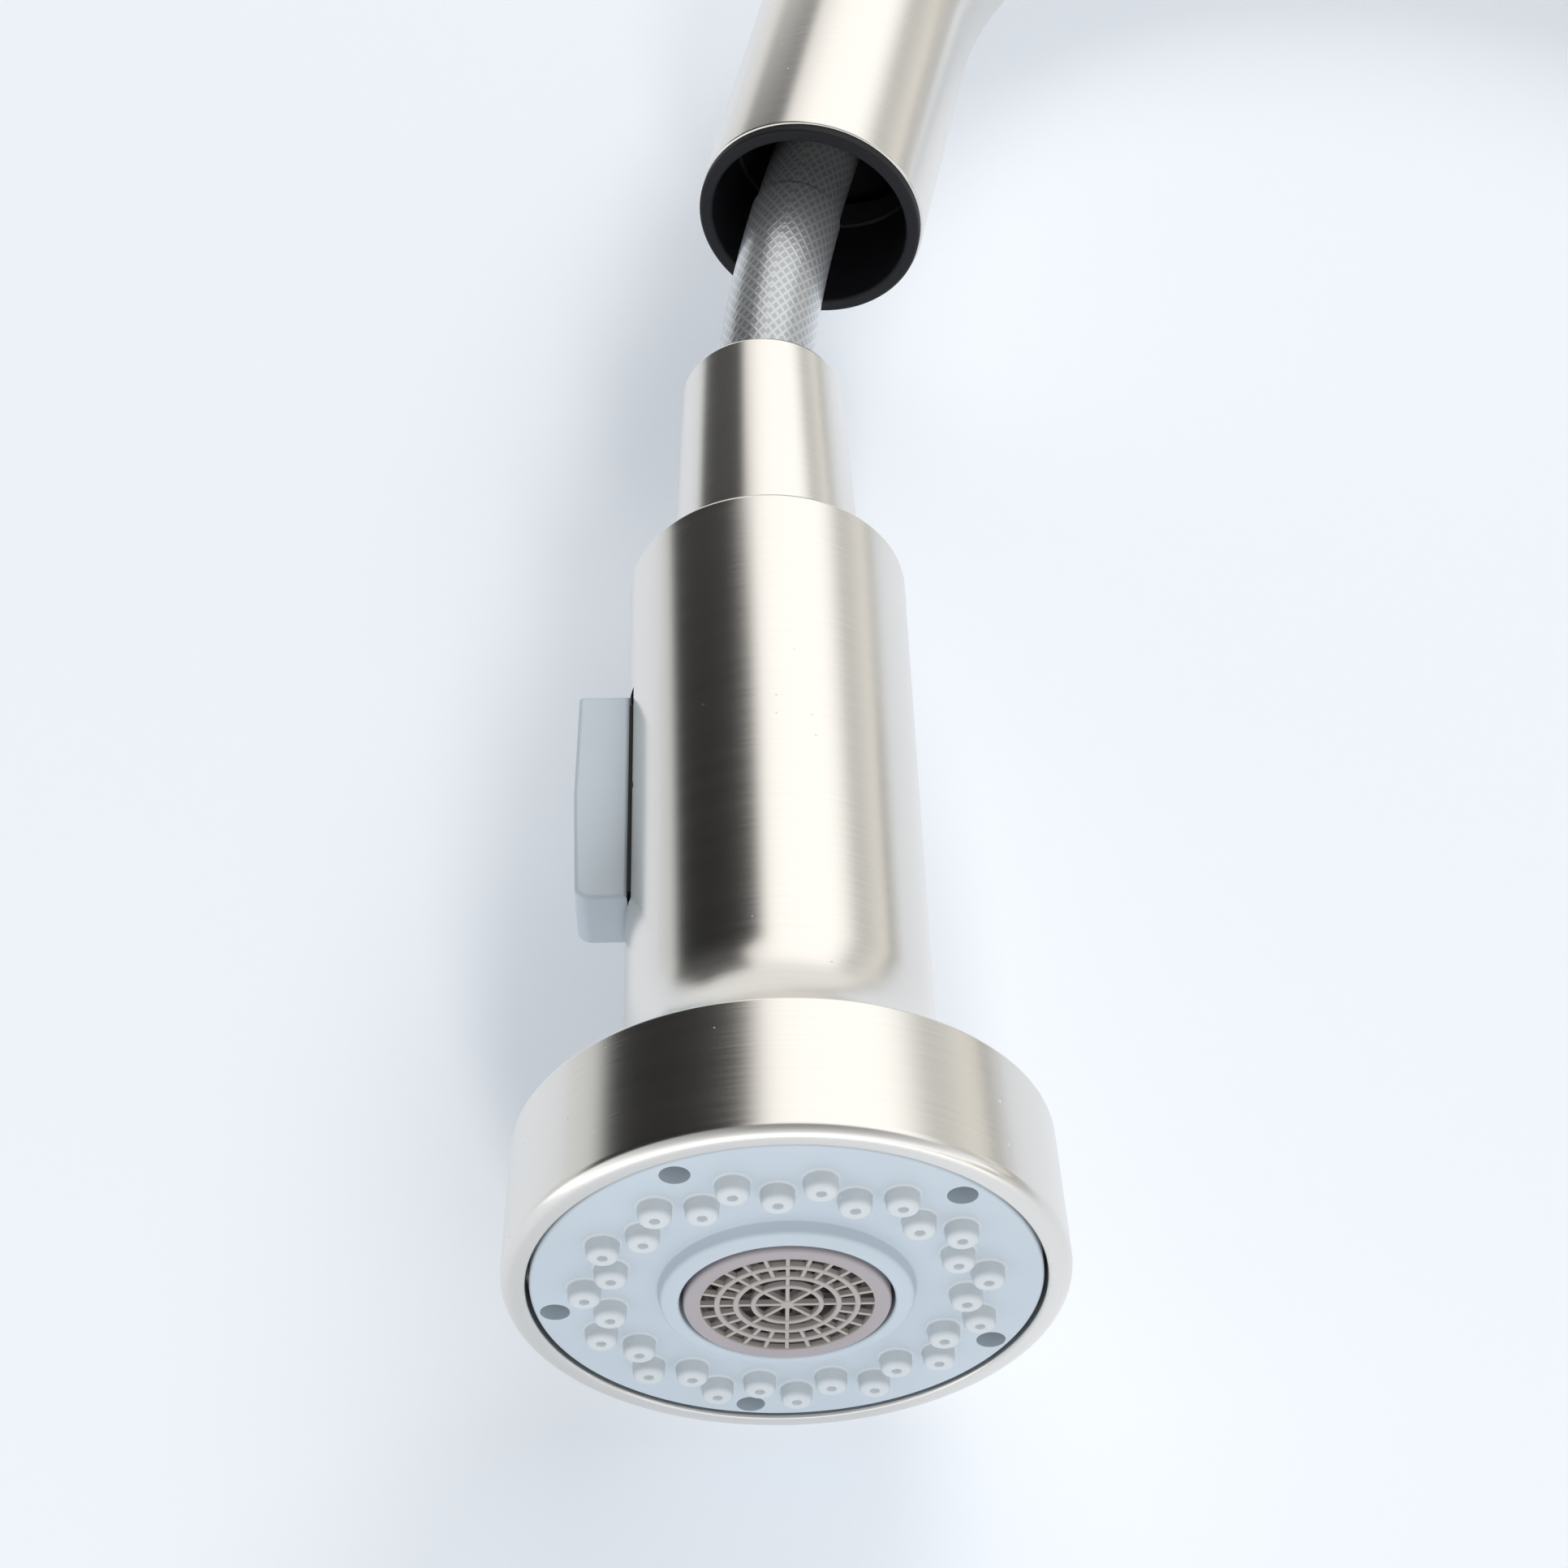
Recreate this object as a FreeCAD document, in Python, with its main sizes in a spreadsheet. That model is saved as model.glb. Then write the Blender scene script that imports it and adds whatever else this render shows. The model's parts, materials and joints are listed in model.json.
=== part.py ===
import FreeCAD, Part

import math
import os

import Sketcher

# A single-hole pull-down kitchen faucet, in millimetres.
# Origin: centre of the base at deck level. +Z up, the spout reaches towards -Y, the lever is on +X.
# The spray head is drawn out of the spout, hanging straight down on its hose.

V = FreeCAD.Vector
doc = FreeCAD.newDocument("pull_down_faucet")
sheet = doc.addObject("Spreadsheet::Sheet", "sizes")


class Size:
    """A length with its value now and the sheet expression that gives it."""

    def __init__(self, value, text):
        self.value = value
        self.text = text

    def __add__(self, other):
        other = as_size(other)
        return Size(self.value + other.value, "(%s + %s)" % (self.text, other.text))

    def __sub__(self, other):
        other = as_size(other)
        return Size(self.value - other.value, "(%s - %s)" % (self.text, other.text))

    def __mul__(self, factor):
        return Size(self.value * factor, "(%s * %r)" % (self.text, factor))

    def __neg__(self):
        return Size(-self.value, "(0 - %s)" % self.text)


def as_size(value):
    return value if isinstance(value, Size) else Size(float(value), "%r" % float(value))


class Sizes:
    """The sheet's cells by name."""

    row = 0

    def add(self, **values):
        for name, value in values.items():
            Sizes.row += 1
            sheet.set("A%d" % Sizes.row, name)
            sheet.set("B%d" % Sizes.row, "%.6g" % value)
            sheet.setAlias("B%d" % Sizes.row, name)
            setattr(self, name, Size(float("%.6g" % value), "sizes." + name))


d = Sizes()

# Spout and column.
d.add(arc_radius=95, arc_height=305, outlet_tilt=12, straight_end=40, tube_radius=15.1, tube_wall=1.0)
d.add(lip_height=1.4, lip_radius=14.8, dock_radius=13.0, dock_depth=16)
d.add(bush_foot=100.3, bush_top=129.7, bush_radius=18.0, swivel_gap=0.05)
# Body, base and deck.
d.add(body_radius=23, body_foot=7.5, body_top=130, trim_height=7, gasket_thick=1.5, base_radius=27.5)
d.add(deck_thick=20, shank_radius=16.5, shank_bore=14, shank_foot=-60, shank_top=20)
d.add(supply_radius=3.2, supply_ring=10.2, hose_radius=6.0, hose_bore=3.6)
# Valve and lever, whose axis lies along +X.
d.add(valve_height=85, boss_radius=17, boss_end=38, pocket_radius=14.5, pivot_reach=26)
d.add(dome_radius=20.5, hub_hollow=20.8, hub_start=39, hub_end=55, lever_radius=4.5, lever_tip=3.6)
d.add(lever_start=11.5, lever_reach=96, stem_radius=3.5)
# Spray head, measured up from its face.
d.add(ring_foot=27.4, ring_radius=26.9, ring_height=15.1, grip_radius=16, grip_top=93.6)
d.add(neck_foot_radius=11.3, neck_top_radius=9.9, neck_top=127.5)
d.add(ball_height=117, ball_radius=5.5, seat_gap=0.06)
d.add(plate_radius=24.6, plate_face=0.3, boss_face=-1.3, boss_face_radius=12.1, nozzle_tip=-1.0)
d.add(outer_nozzles=19.3, inner_nozzles=17.2, nozzle_radius=1.6, nozzle_hole=1.75, pin_holes=22.6)
d.add(aerator_radius=10.0, aerator_bore=8.75, aerator_face=-1.5, grid_thick=1.5)
d.add(button_width=8.2, button_foot=45.2, button_top=73.7, button_front=21.6, button_back=15.7)
d.add(window_gap=0.7, shell_wall=2.0, plate_gap=0.35)
d.add(boss_bore=10.3, flare_across=13.0, flare_top=31.5, socket_radius=8.0)
# How the drawn-out head stands from the outlet.
d.add(head_drop=161.7, head_forward=6.73)

TILT = math.radians(d.outlet_tilt.value)
OUTLET_Y = -d.arc_radius.value * (1 + math.cos(TILT)) - d.straight_end.value * math.sin(TILT)
OUTLET_Z = d.arc_height.value + d.arc_radius.value * math.sin(TILT) - d.straight_end.value * math.cos(TILT)
d.add(outlet_y=OUTLET_Y, outlet_z=OUTLET_Z)
d.add(head_y=OUTLET_Y - d.head_forward.value, face_z=OUTLET_Z - d.head_drop.value)

NODES = []


# ---- Helpers ----

def place(obj, base=(0, 0, 0), rotation=None):
    """Puts an object at a base point given in sheet sizes."""
    spots = [as_size(value) for value in base]
    turn = rotation or FreeCAD.Rotation()
    obj.Placement = FreeCAD.Placement(V(*[spot.value for spot in spots]), turn)
    for letter, spot in zip("xyz", spots):
        if "sizes." in spot.text:
            obj.setExpression("Placement.Base." + letter, spot.text)


def bind(obj, **sizes):
    for name, size in sizes.items():
        size = as_size(size)
        setattr(obj, name, size.value)
        if "sizes." in size.text:
            obj.setExpression(name, size.text)


def origin_plane(body, role):
    return [item for item in body.Origin.OriginFeatures if item.Role == role][0]


def new_sketch(body, name, role):
    sketch = body.newObject("Sketcher::SketchObject", name)
    sketch.AttachmentSupport = [(origin_plane(body, role), "")]
    sketch.MapMode = "FlatFace"
    return sketch


def pin_point(sketch, edge, end, across, up):
    """Fixes an end of an edge at a distance across and up from the sketch's origin."""
    for kind, size in (("DistanceX", across), ("DistanceY", up)):
        size = as_size(size)
        index = sketch.addConstraint(Sketcher.Constraint(kind, -1, 1, edge, end, size.value))
        if "sizes." in size.text:
            sketch.setExpression("Constraints[%d]" % index, size.text)


def polygon(sketch, outline):
    """Draws a closed outline of straight lines, with each corner fixed."""
    spots = [(as_size(across), as_size(up)) for across, up in outline]
    count = len(spots)
    for index, (across, up) in enumerate(spots):
        after = spots[(index + 1) % count]
        line = Part.LineSegment(V(across.value, up.value, 0), V(after[0].value, after[1].value, 0))
        sketch.addGeometry(line)
    for index in range(count):
        sketch.addConstraint(Sketcher.Constraint("Coincident", index, 2, (index + 1) % count, 1))
    for index, (across, up) in enumerate(spots):
        pin_point(sketch, index, 1, across, up)


def circles(sketch, spots, radius):
    """Draws circles of one radius; the spots are centres in sheet sizes."""
    radius = as_size(radius)
    for across, up in spots:
        across, up = as_size(across), as_size(up)
        centre = V(across.value, up.value, 0)
        edge = sketch.addGeometry(Part.Circle(centre, V(0, 0, 1), radius.value))
        pin_point(sketch, edge, 3, across, up)
        index = sketch.addConstraint(Sketcher.Constraint("Radius", edge, radius.value))
        if "sizes." in radius.text:
            sketch.setExpression("Constraints[%d]" % index, radius.text)


def turned(label, outline, base=(0, 0, 0), rotation=None):
    """A turned piece: its outline is (radius, height) corners, spun about its own Z."""
    body = doc.addObject("PartDesign::Body", label)
    body.Label = label
    sketch = new_sketch(body, label + "_outline", "XZ_Plane")
    polygon(sketch, outline)
    spin = body.newObject("PartDesign::Revolution", label + "_spin")
    spin.Profile = sketch
    spin.ReferenceAxis = (sketch, ["V_Axis"])
    spin.Angle = 360
    body.Tip = spin
    place(body, base, rotation)
    return body


def ring(label, inner, outer, foot, top, base=(0, 0, 0), rotation=None):
    return turned(label, [(inner, foot), (outer, foot), (outer, top), (inner, top)], base, rotation)


def sketch_at(body, name, height):
    """A sketch across the body's own Z at a height."""
    height = as_size(height)
    sketch = new_sketch(body, name, "XY_Plane")
    sketch.AttachmentOffset = FreeCAD.Placement(V(0, 0, height.value), FreeCAD.Rotation())
    if "sizes." in height.text:
        sketch.setExpression("AttachmentOffset.Base.z", height.text)
    return sketch


def repeat(body, feature, count):
    """Repeats a feature evenly about the body's own Z."""
    pattern = body.newObject("PartDesign::PolarPattern", feature.Name + "_ring")
    axis = [item for item in body.Origin.OriginFeatures if item.Role == "Z_Axis"][0]
    pattern.Originals = [feature]
    pattern.Axis = (axis, [""])
    pattern.Angle = 360
    pattern.Occurrences = count
    body.Tip = pattern


def holes(body, name, centre_radius, angle, radius, start, depth, count, upward=True):
    """A ring of round holes parallel to the body's Z."""
    turn = math.radians(angle)
    spot = (centre_radius * math.cos(turn), centre_radius * math.sin(turn))
    sketch = sketch_at(body, name + "_outline", start)
    circles(sketch, [spot], radius)
    cut = body.newObject("PartDesign::Pocket", name)
    cut.Profile = sketch
    cut.Length = depth
    cut.Reversed = upward
    body.Tip = cut
    if count > 1:
        repeat(body, cut, count)


def pegs(body, name, centre_radius, angle, radius, start, height, count):
    """A ring of round pegs parallel to the body's Z."""
    turn = math.radians(angle)
    spot = (centre_radius * math.cos(turn), centre_radius * math.sin(turn))
    sketch = sketch_at(body, name + "_outline", start)
    circles(sketch, [spot], radius)
    pad = body.newObject("PartDesign::Pad", name)
    pad.Profile = sketch
    bind(pad, Length=height)
    body.Tip = pad
    repeat(body, pad, count)


def cylinder(radius, foot, top, spot=(0, 0), axis="z"):
    """A Part cylinder from foot to top along an axis; the spot is its place across that axis."""
    obj = doc.addObject("Part::Cylinder", "bar")
    foot, top = as_size(foot), as_size(top)
    bind(obj, Radius=radius, Height=top - foot)
    if axis == "z":
        place(obj, (spot[0], spot[1], foot))
    elif axis == "x":
        place(obj, (foot, spot[0], spot[1]), FreeCAD.Rotation(V(0, 1, 0), 90))
    else:
        place(obj, (spot[0], foot, spot[1]), FreeCAD.Rotation(V(1, 0, 0), -90))
    return obj


def block(low, high):
    obj = doc.addObject("Part::Box", "block")
    low = [as_size(value) for value in low]
    high = [as_size(value) for value in high]
    bind(obj, Length=high[0] - low[0], Width=high[1] - low[1], Height=high[2] - low[2])
    place(obj, low)
    return obj


def sphere(radius, centre):
    obj = doc.addObject("Part::Sphere", "ball")
    bind(obj, Radius=radius)
    place(obj, centre)
    return obj


def joined(label, add, cut=(), keep=()):
    """Fuses solids, cuts others away and keeps only what lies in the last ones."""
    shape = add[0]
    if len(add) > 1:
        shape = doc.addObject("Part::MultiFuse", label + "_sum")
        shape.Shapes = list(add)
    for tool in cut:
        piece = doc.addObject("Part::Cut", label + "_cut")
        piece.Base = shape
        piece.Tool = tool
        shape = piece
    for tool in keep:
        piece = doc.addObject("Part::Common", label + "_kept")
        piece.Base = shape
        piece.Tool = tool
        shape = piece
    shape.Label = label
    return shape


def node(obj):
    NODES.append(obj)
    return obj


def bend_radius(before, corner, after):
    """The radius of the arc that rounds a route's corner."""
    first, second = corner - before, after - corner
    half = first.getAngle(second) / 2
    return 0.45 * min(first.Length, second.Length) / math.tan(half)


def route_wire(points):
    """Straight runs joined by tangent arcs."""
    points = [V(*point) for point in points]
    edges = []
    start = points[0]
    for before, corner, after in zip(points, points[1:], points[2:]):
        reach = 0.45 * min((corner - before).Length, (after - corner).Length)
        enter = corner + (before - corner).normalize() * reach
        leave = corner + (after - corner).normalize() * reach
        half = (corner - before).getAngle(after - corner) / 2
        toward = ((before - corner).normalize() + (after - corner).normalize()).normalize()
        radius = reach / math.tan(half)
        middle = corner + toward * (radius / math.cos(half) - radius)
        edges.append(Part.LineSegment(start, enter).toShape())
        edges.append(Part.Arc(enter, middle, leave).toShape())
        start = leave
    edges.append(Part.LineSegment(start, points[-1]).toShape())
    return Part.Wire(edges)


def tube_along(label, points, radius, bore):
    """A round hollow tube along a route."""
    wire = route_wire(points)
    first = V(*points[1]) - V(*points[0])
    solids = []
    for size in (radius, bore):
        outline = Part.Wire([Part.Circle(V(*points[0]), first, size).toShape()])
        solids.append(wire.makePipeShell([outline], True, False))
    obj = doc.addObject("Part::Feature", label)
    obj.Label = label
    obj.Shape = solids[0].cut(solids[1])
    expected = math.pi * (radius ** 2 - bore ** 2) * wire.Length
    tightest = min(
        bend_radius(V(*a), V(*b), V(*c)) for a, b, c in zip(points, points[1:], points[2:])
    )
    print("%s: length %.1f, volume ratio %.4f, tightest bend %.1f" % (
        label, wire.Length, obj.Shape.Volume / expected, tightest))
    return obj


HEAD = (0, d.head_y, d.face_z)
VALVE = (0, 0, d.valve_height)
ALONG_X = FreeCAD.Rotation(V(0, 1, 0), 90)


# ---- Base and deck ----

def base_parts():
    gasket_top = d.gasket_thick
    node(ring("base_gasket", 17, d.base_radius - 1, 0, gasket_top))
    node(turned("base_escutcheon", [
        (16.6, gasket_top), (d.base_radius, gasket_top), (d.base_radius, d.body_foot - 2),
        (d.base_radius - 2, d.body_foot), (16.6, d.body_foot)]))
    node(ring("threaded_shank", d.shank_bore, d.shank_radius, d.shank_foot, d.shank_top))
    under = -d.deck_thick
    node(ring("rubber_washer", 17, 26, under - 3, under))
    node(ring("metal_washer", 17, 25, under - 5, under - 3))
    nut = doc.addObject("Part::Prism", "nut_blank")
    bind(nut, Circumradius=24, Height=12)
    nut.Polygon = 6
    place(nut, (0, 0, under - 17))
    bore = cylinder(d.shank_radius, under - 18, under - 4)
    node(joined("mounting_nut", [nut], [bore]))


def supply_parts():
    """Two inlet tubes and the outlet tube, which leave the body through the shank."""
    top = d.shank_top.value
    foot = d.shank_foot.value
    reach = d.supply_ring.value
    for name, angle in (("hot", 170), ("cold", 10)):
        across, along = math.cos(math.radians(angle)), math.sin(math.radians(angle))
        spread = 24
        route = [
            (reach * across, reach * along, top), (reach * across, reach * along, foot - 10),
            (spread * across, spread * along, foot - 36), (spread * across, spread * along, foot - 68)]
        node(tube_along("inlet_tube_" + name, route, d.supply_radius.value, 2.2))
        fitting = turned("inlet_fitting_" + name, [
            (d.supply_radius, foot - 62), (7.1, foot - 62), (7.1, foot - 52), (9, foot - 52),
            (9, foot - 46), (d.supply_radius, foot - 46)],
            (spread * across, spread * along, -14))
        node(fitting)
    outlet = [(0, -reach, top), (0, -reach, foot - 14), (0, -40, foot - 30), (0, -40, foot - 48)]
    node(tube_along("outlet_tube", outlet, d.supply_radius.value, 2.2))
    node(turned("quick_connector", [
        (d.supply_radius, foot - 39), (7, foot - 39), (9, foot - 42), (9, foot - 54),
        (7.6, foot - 60), (d.supply_radius, foot - 60)], (0, -40, 0)))


# ---- Body, valve and lever ----

def body_parts():
    column = cylinder(d.body_radius, d.body_foot, d.body_top)
    boss = cylinder(d.boss_radius, 0, d.boss_end - 0.8, (0, d.valve_height), "x")
    nose = cylinder(d.boss_radius - 0.8, 1, d.boss_end, (0, d.valve_height), "x")
    cuts = [
        cylinder(d.shank_radius, 0, d.shank_top),
        cylinder(8, 10, d.body_top),
        cylinder(d.bush_radius + d.swivel_gap, d.bush_foot - 0.3, d.body_top + 1),
        cylinder(d.pocket_radius, 11, d.boss_end + 1, (0, d.valve_height), "x")]
    node(joined("faucet_body", [column, boss, nose], cuts))
    top = d.body_top
    node(turned("body_trim_ring", [
        (d.tube_radius + 0.3, top), (d.body_radius, top), (d.body_radius, top + 2),
        (d.body_radius - 4, top + d.trim_height), (d.tube_radius + 0.3, top + d.trim_height)]))


def valve_parts():
    node(turned("cartridge_housing", [
        (2, 11.2), (14.4, 11.2), (14.4, 33.8), (9.2, 33.8), (9.2, 31.8), (12.6, 31.8),
        (12.6, 13.4), (2, 13.4)], VALVE, ALONG_X))
    node(ring("fixed_disc", 2, 12.5, 13.4, 16.4, VALVE, ALONG_X))
    node(ring("moving_disc", 2, 11, 16.45, 19.4, VALVE, ALONG_X))
    node(ring("cartridge_nut", 9.2, d.pocket_radius - 0.05, 34, 37.5, VALVE, ALONG_X))
    pivot = d.pivot_reach
    guide = cylinder(12.55, 19.5, 31.7, (0, d.valve_height), "x")
    slot = block((19, -3.8, d.valve_height - 8), (32, 3.8, d.valve_height + 7))
    pin_hole = cylinder(1.2, -9, 9, (pivot, d.valve_height), "y")
    node(joined("stem_guide", [guide], [slot, pin_hole]))
    node(joined("guide_pin", [cylinder(1.2, -9, 9, (pivot, d.valve_height), "y")]))
    stem = cylinder(d.stem_radius, 20.6, 50.5, (0, d.valve_height), "x")
    stem_hole = cylinder(1.25, -9, 9, (pivot, d.valve_height), "y")
    node(joined("valve_stem", [stem], [stem_hole]))
    centre = (pivot, 0, d.valve_height)
    dome = sphere(d.dome_radius, centre)
    hollow = sphere(d.dome_radius - 1.6, centre)
    mouth = cylinder(10.3, 30, 60, (0, d.valve_height), "x")
    band = cylinder(30, d.boss_end + 0.05, 50, (0, d.valve_height), "x")
    node(joined("cartridge_dome", [dome], [hollow, mouth], [band]))


def lever_parts():
    height = d.valve_height
    pivot = (d.pivot_reach, 0, height)
    hub = cylinder(d.boss_radius, d.hub_start, d.hub_end, (0, height), "x")
    lever_x = 48
    socket = cylinder(d.lever_radius, height + d.lever_start, height + 30, (lever_x, 0))
    screw_x = 49
    cuts = [
        sphere(d.hub_hollow, pivot),
        cylinder(d.stem_radius, 40, 50.6, (0, height), "x"),
        socket,
        cylinder(1.5, height - 20, height, (screw_x, 0))]
    node(joined("handle_hub", [hub], cuts))
    foot = cylinder(d.lever_radius, height + d.lever_start, height + 20, (lever_x, 0))
    blade = doc.addObject("Part::Cone", "blade")
    bind(blade, Radius1=d.lever_radius, Radius2=d.lever_tip, Height=d.lever_reach - 20)
    place(blade, (lever_x, 0, height + 20))
    node(joined("handle_lever", [foot, blade]))
    node(joined("handle_set_screw", [cylinder(1.5, height - 11, height - d.stem_radius, (screw_x, 0))]))
    node(joined("index_plug", [cylinder(1.5, height - 16.8, height - 12, (screw_x, 0))]))


# ---- Spout ----

def spout_spine(body, foot, straight):
    """Up the column, over the arc and, if asked, down the straight end."""
    sketch = new_sketch(body, body.Name + "_spine", "YZ_Plane")
    reach, height, foot = d.arc_radius, d.arc_height, as_size(foot)
    sketch.addGeometry(Part.LineSegment(V(0, foot.value, 0), V(0, height.value, 0)))
    circle = Part.Circle(V(-reach.value, height.value, 0), V(0, 0, 1), reach.value)
    turn = math.pi - TILT
    sketch.addGeometry(Part.ArcOfCircle(circle, 0, turn))
    pin_point(sketch, 0, 1, 0, foot)
    pin_point(sketch, 0, 2, 0, height)
    sketch.addConstraint(Sketcher.Constraint("Coincident", 0, 2, 1, 1))
    pin_point(sketch, 1, 3, -reach, height)
    end_y = -reach.value * (1 + math.cos(TILT))
    end_z = height.value + reach.value * math.sin(TILT)
    if not straight:
        sketch.addConstraint(Sketcher.Constraint("DistanceX", -1, 1, 1, 2, end_y))
        return sketch
    length = d.straight_end - d.lip_height
    tip = V(end_y - length.value * math.sin(TILT), end_z - length.value * math.cos(TILT), 0)
    sketch.addGeometry(Part.LineSegment(V(end_y, end_z, 0), tip))
    sketch.addConstraint(Sketcher.Constraint("Tangent", 1, 2, 2, 1))
    index = sketch.addConstraint(Sketcher.Constraint("Distance", 2, length.value))
    sketch.setExpression("Constraints[%d]" % index, length.text)
    sketch.addConstraint(Sketcher.Constraint("DistanceX", -1, 1, 1, 2, end_y))
    return sketch


def swept(label, outer, inner, foot, straight):
    """A hollow tube along the spout's line."""
    body = doc.addObject("PartDesign::Body", label)
    body.Label = label
    spine = spout_spine(body, foot, straight)
    sketch = sketch_at(body, label + "_section", foot)
    circles(sketch, [(0, 0)], outer)
    circles(sketch, [(0, 0)], inner)
    pipe = body.newObject("PartDesign::AdditivePipe", label + "_pipe")
    pipe.Profile = sketch
    pipe.Spine = (spine, ["Edge%d" % (index + 1) for index in range(3 if straight else 2)])
    body.Tip = pipe
    return body


def spout_parts():
    node(swept("spout_tube", d.tube_radius, d.tube_radius - d.tube_wall, d.bush_foot, True))
    node(swept("hose_in_spout", d.hose_radius, d.hose_bore, d.bush_foot + 0.2, False))
    foot, top, outer = d.bush_foot, d.bush_top, d.bush_radius
    node(turned("spout_bush", [
        (d.tube_radius, foot), (outer, foot), (outer, foot + 5), (outer - 1.6, foot + 5),
        (outer - 1.6, foot + 7), (outer, foot + 7), (outer, foot + 12), (outer - 1.6, foot + 12),
        (outer - 1.6, foot + 14), (outer, foot + 14), (outer, top), (d.tube_radius, top)]))
    seals = []
    for rise in (6, 13):
        seal = doc.addObject("Part::Torus", "seal")
        bind(seal, Radius1=outer - 0.8, Radius2=0.75)
        place(seal, (0, 0, foot + rise))
        seals.append(seal)
    node(joined("spout_o_rings", seals))
    outlet = (0, d.outlet_y, d.outlet_z)
    lean = FreeCAD.Rotation(V(1, 0, 0), -d.outlet_tilt.value)
    sleeve = d.tube_radius - d.tube_wall - 0.05
    node(turned("docking_ring", [
        (d.dock_radius, 0), (d.lip_radius, 0), (d.lip_radius, d.lip_height), (sleeve, d.lip_height),
        (sleeve, d.dock_depth), (d.dock_radius, d.dock_depth)], outlet, lean))
    node(ring("docking_magnet", 12.6, sleeve, d.dock_depth + 0.2, d.dock_depth + 5, outlet, lean))


# ---- Hose ----

WEIGHT_AT = 0.45
LOOP = [
    (0, 0, -60), (0, 0, -108), (3, 22, -180), (5, 50, -245), (5, 58, -305), (4, 22, -348),
    (2, -34, -350), (0, -74, -311), (-2, -80, -256), (-2, -62, -205), (0, -40, -158), (0, -40, -120)]


def hose_parts():
    radius, bore = d.hose_radius.value, d.hose_bore.value
    node(ring("hose_riser", d.hose_bore, d.hose_radius, d.shank_foot, d.bush_foot - 0.8))
    node(tube_along("hose_loop", LOOP, radius, bore))
    head_y, face = d.head_y.value, d.face_z.value
    start = V(0, head_y, face + 123.5)
    corner = V(0, head_y + 0.3, face + 152.3)
    far = V(0, -d.arc_radius.value * (1 + math.cos(TILT)), d.arc_height.value
            + d.arc_radius.value * math.sin(TILT))
    end = far + (corner - far).normalize() * 1.5
    node(tube_along("hose_exposed", [tuple(start), tuple(corner), tuple(end)], radius, bore))
    upper, lower = V(*LOOP[2]), V(*LOOP[3])
    along = (lower - upper).normalize()
    middle = upper + (lower - upper) * WEIGHT_AT
    turn = FreeCAD.Rotation(V(0, 0, 1), along)
    for name, side in (("left", -1), ("right", 1)):
        half = doc.addObject("Part::Feature", "hose_weight_" + name)
        half.Label = "hose_weight_" + name
        shell = Part.makeCylinder(17, 30, V(0, 0, -15))
        shell = shell.cut(Part.makeCylinder(7.2, 32, V(0, 0, -16)))
        room = Part.makeBox(40, 40, 40, V(0.1 if side > 0 else -40.1, -20, -20))
        shell = shell.common(room)
        for spot in (-12, 12):
            shell = shell.cut(Part.makeCylinder(1.6, 40, V(-20, spot, 0), V(1, 0, 0)))
        half.Shape = shell
        half.Placement = FreeCAD.Placement(middle, turn)
        node(half)
    screws = doc.addObject("Part::Feature", "weight_screws")
    screws.Label = "weight_screws"
    screws.Shape = Part.makeCompound([
        Part.makeCylinder(1.55, 20, V(-10, spot, 0), V(1, 0, 0)) for spot in (-12, 12)])
    screws.Placement = FreeCAD.Placement(middle, turn)
    node(screws)


def swivel_parts():
    """The ball on the hose's end and the two-piece socket that holds it."""
    ball_at = (0, d.head_y, d.face_z + d.ball_height)
    spot = (0, d.head_y)
    ball_z = d.face_z + d.ball_height
    ball = sphere(d.ball_radius, ball_at)
    stem_radius, barb_radius, bore_radius, opening, collar = 3.0, 3.5, 2.0, 4.6, 4.4
    stem = cylinder(stem_radius, ball_z, ball_z + 6.5, spot)
    barb = cylinder(barb_radius, ball_z + 6.3, ball_z + 14, spot)
    bore = cylinder(bore_radius, ball_z - 8, ball_z + 16, spot)
    node(joined("hose_fitting", [ball, stem, barb], [bore]))
    node(ring("hose_ferrule", d.hose_radius + 0.05, 6.6, 123.3, 127.3, HEAD))
    gap_radius = d.ball_radius + d.seat_gap
    seat = cylinder(d.socket_radius, ball_z - 9, ball_z, spot)
    seat_cuts = [sphere(gap_radius, ball_at), cylinder(barb_radius, ball_z - 10, ball_z, spot)]
    node(joined("socket_seat", [seat], seat_cuts))
    cap = cylinder(d.socket_radius, ball_z, ball_z + collar, spot)
    cap_cuts = [sphere(gap_radius, ball_at), cylinder(opening, ball_z + 1, ball_z + 6, spot)]
    node(joined("socket_retainer", [cap], cap_cuts))


# ---- Spray head ----

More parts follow.
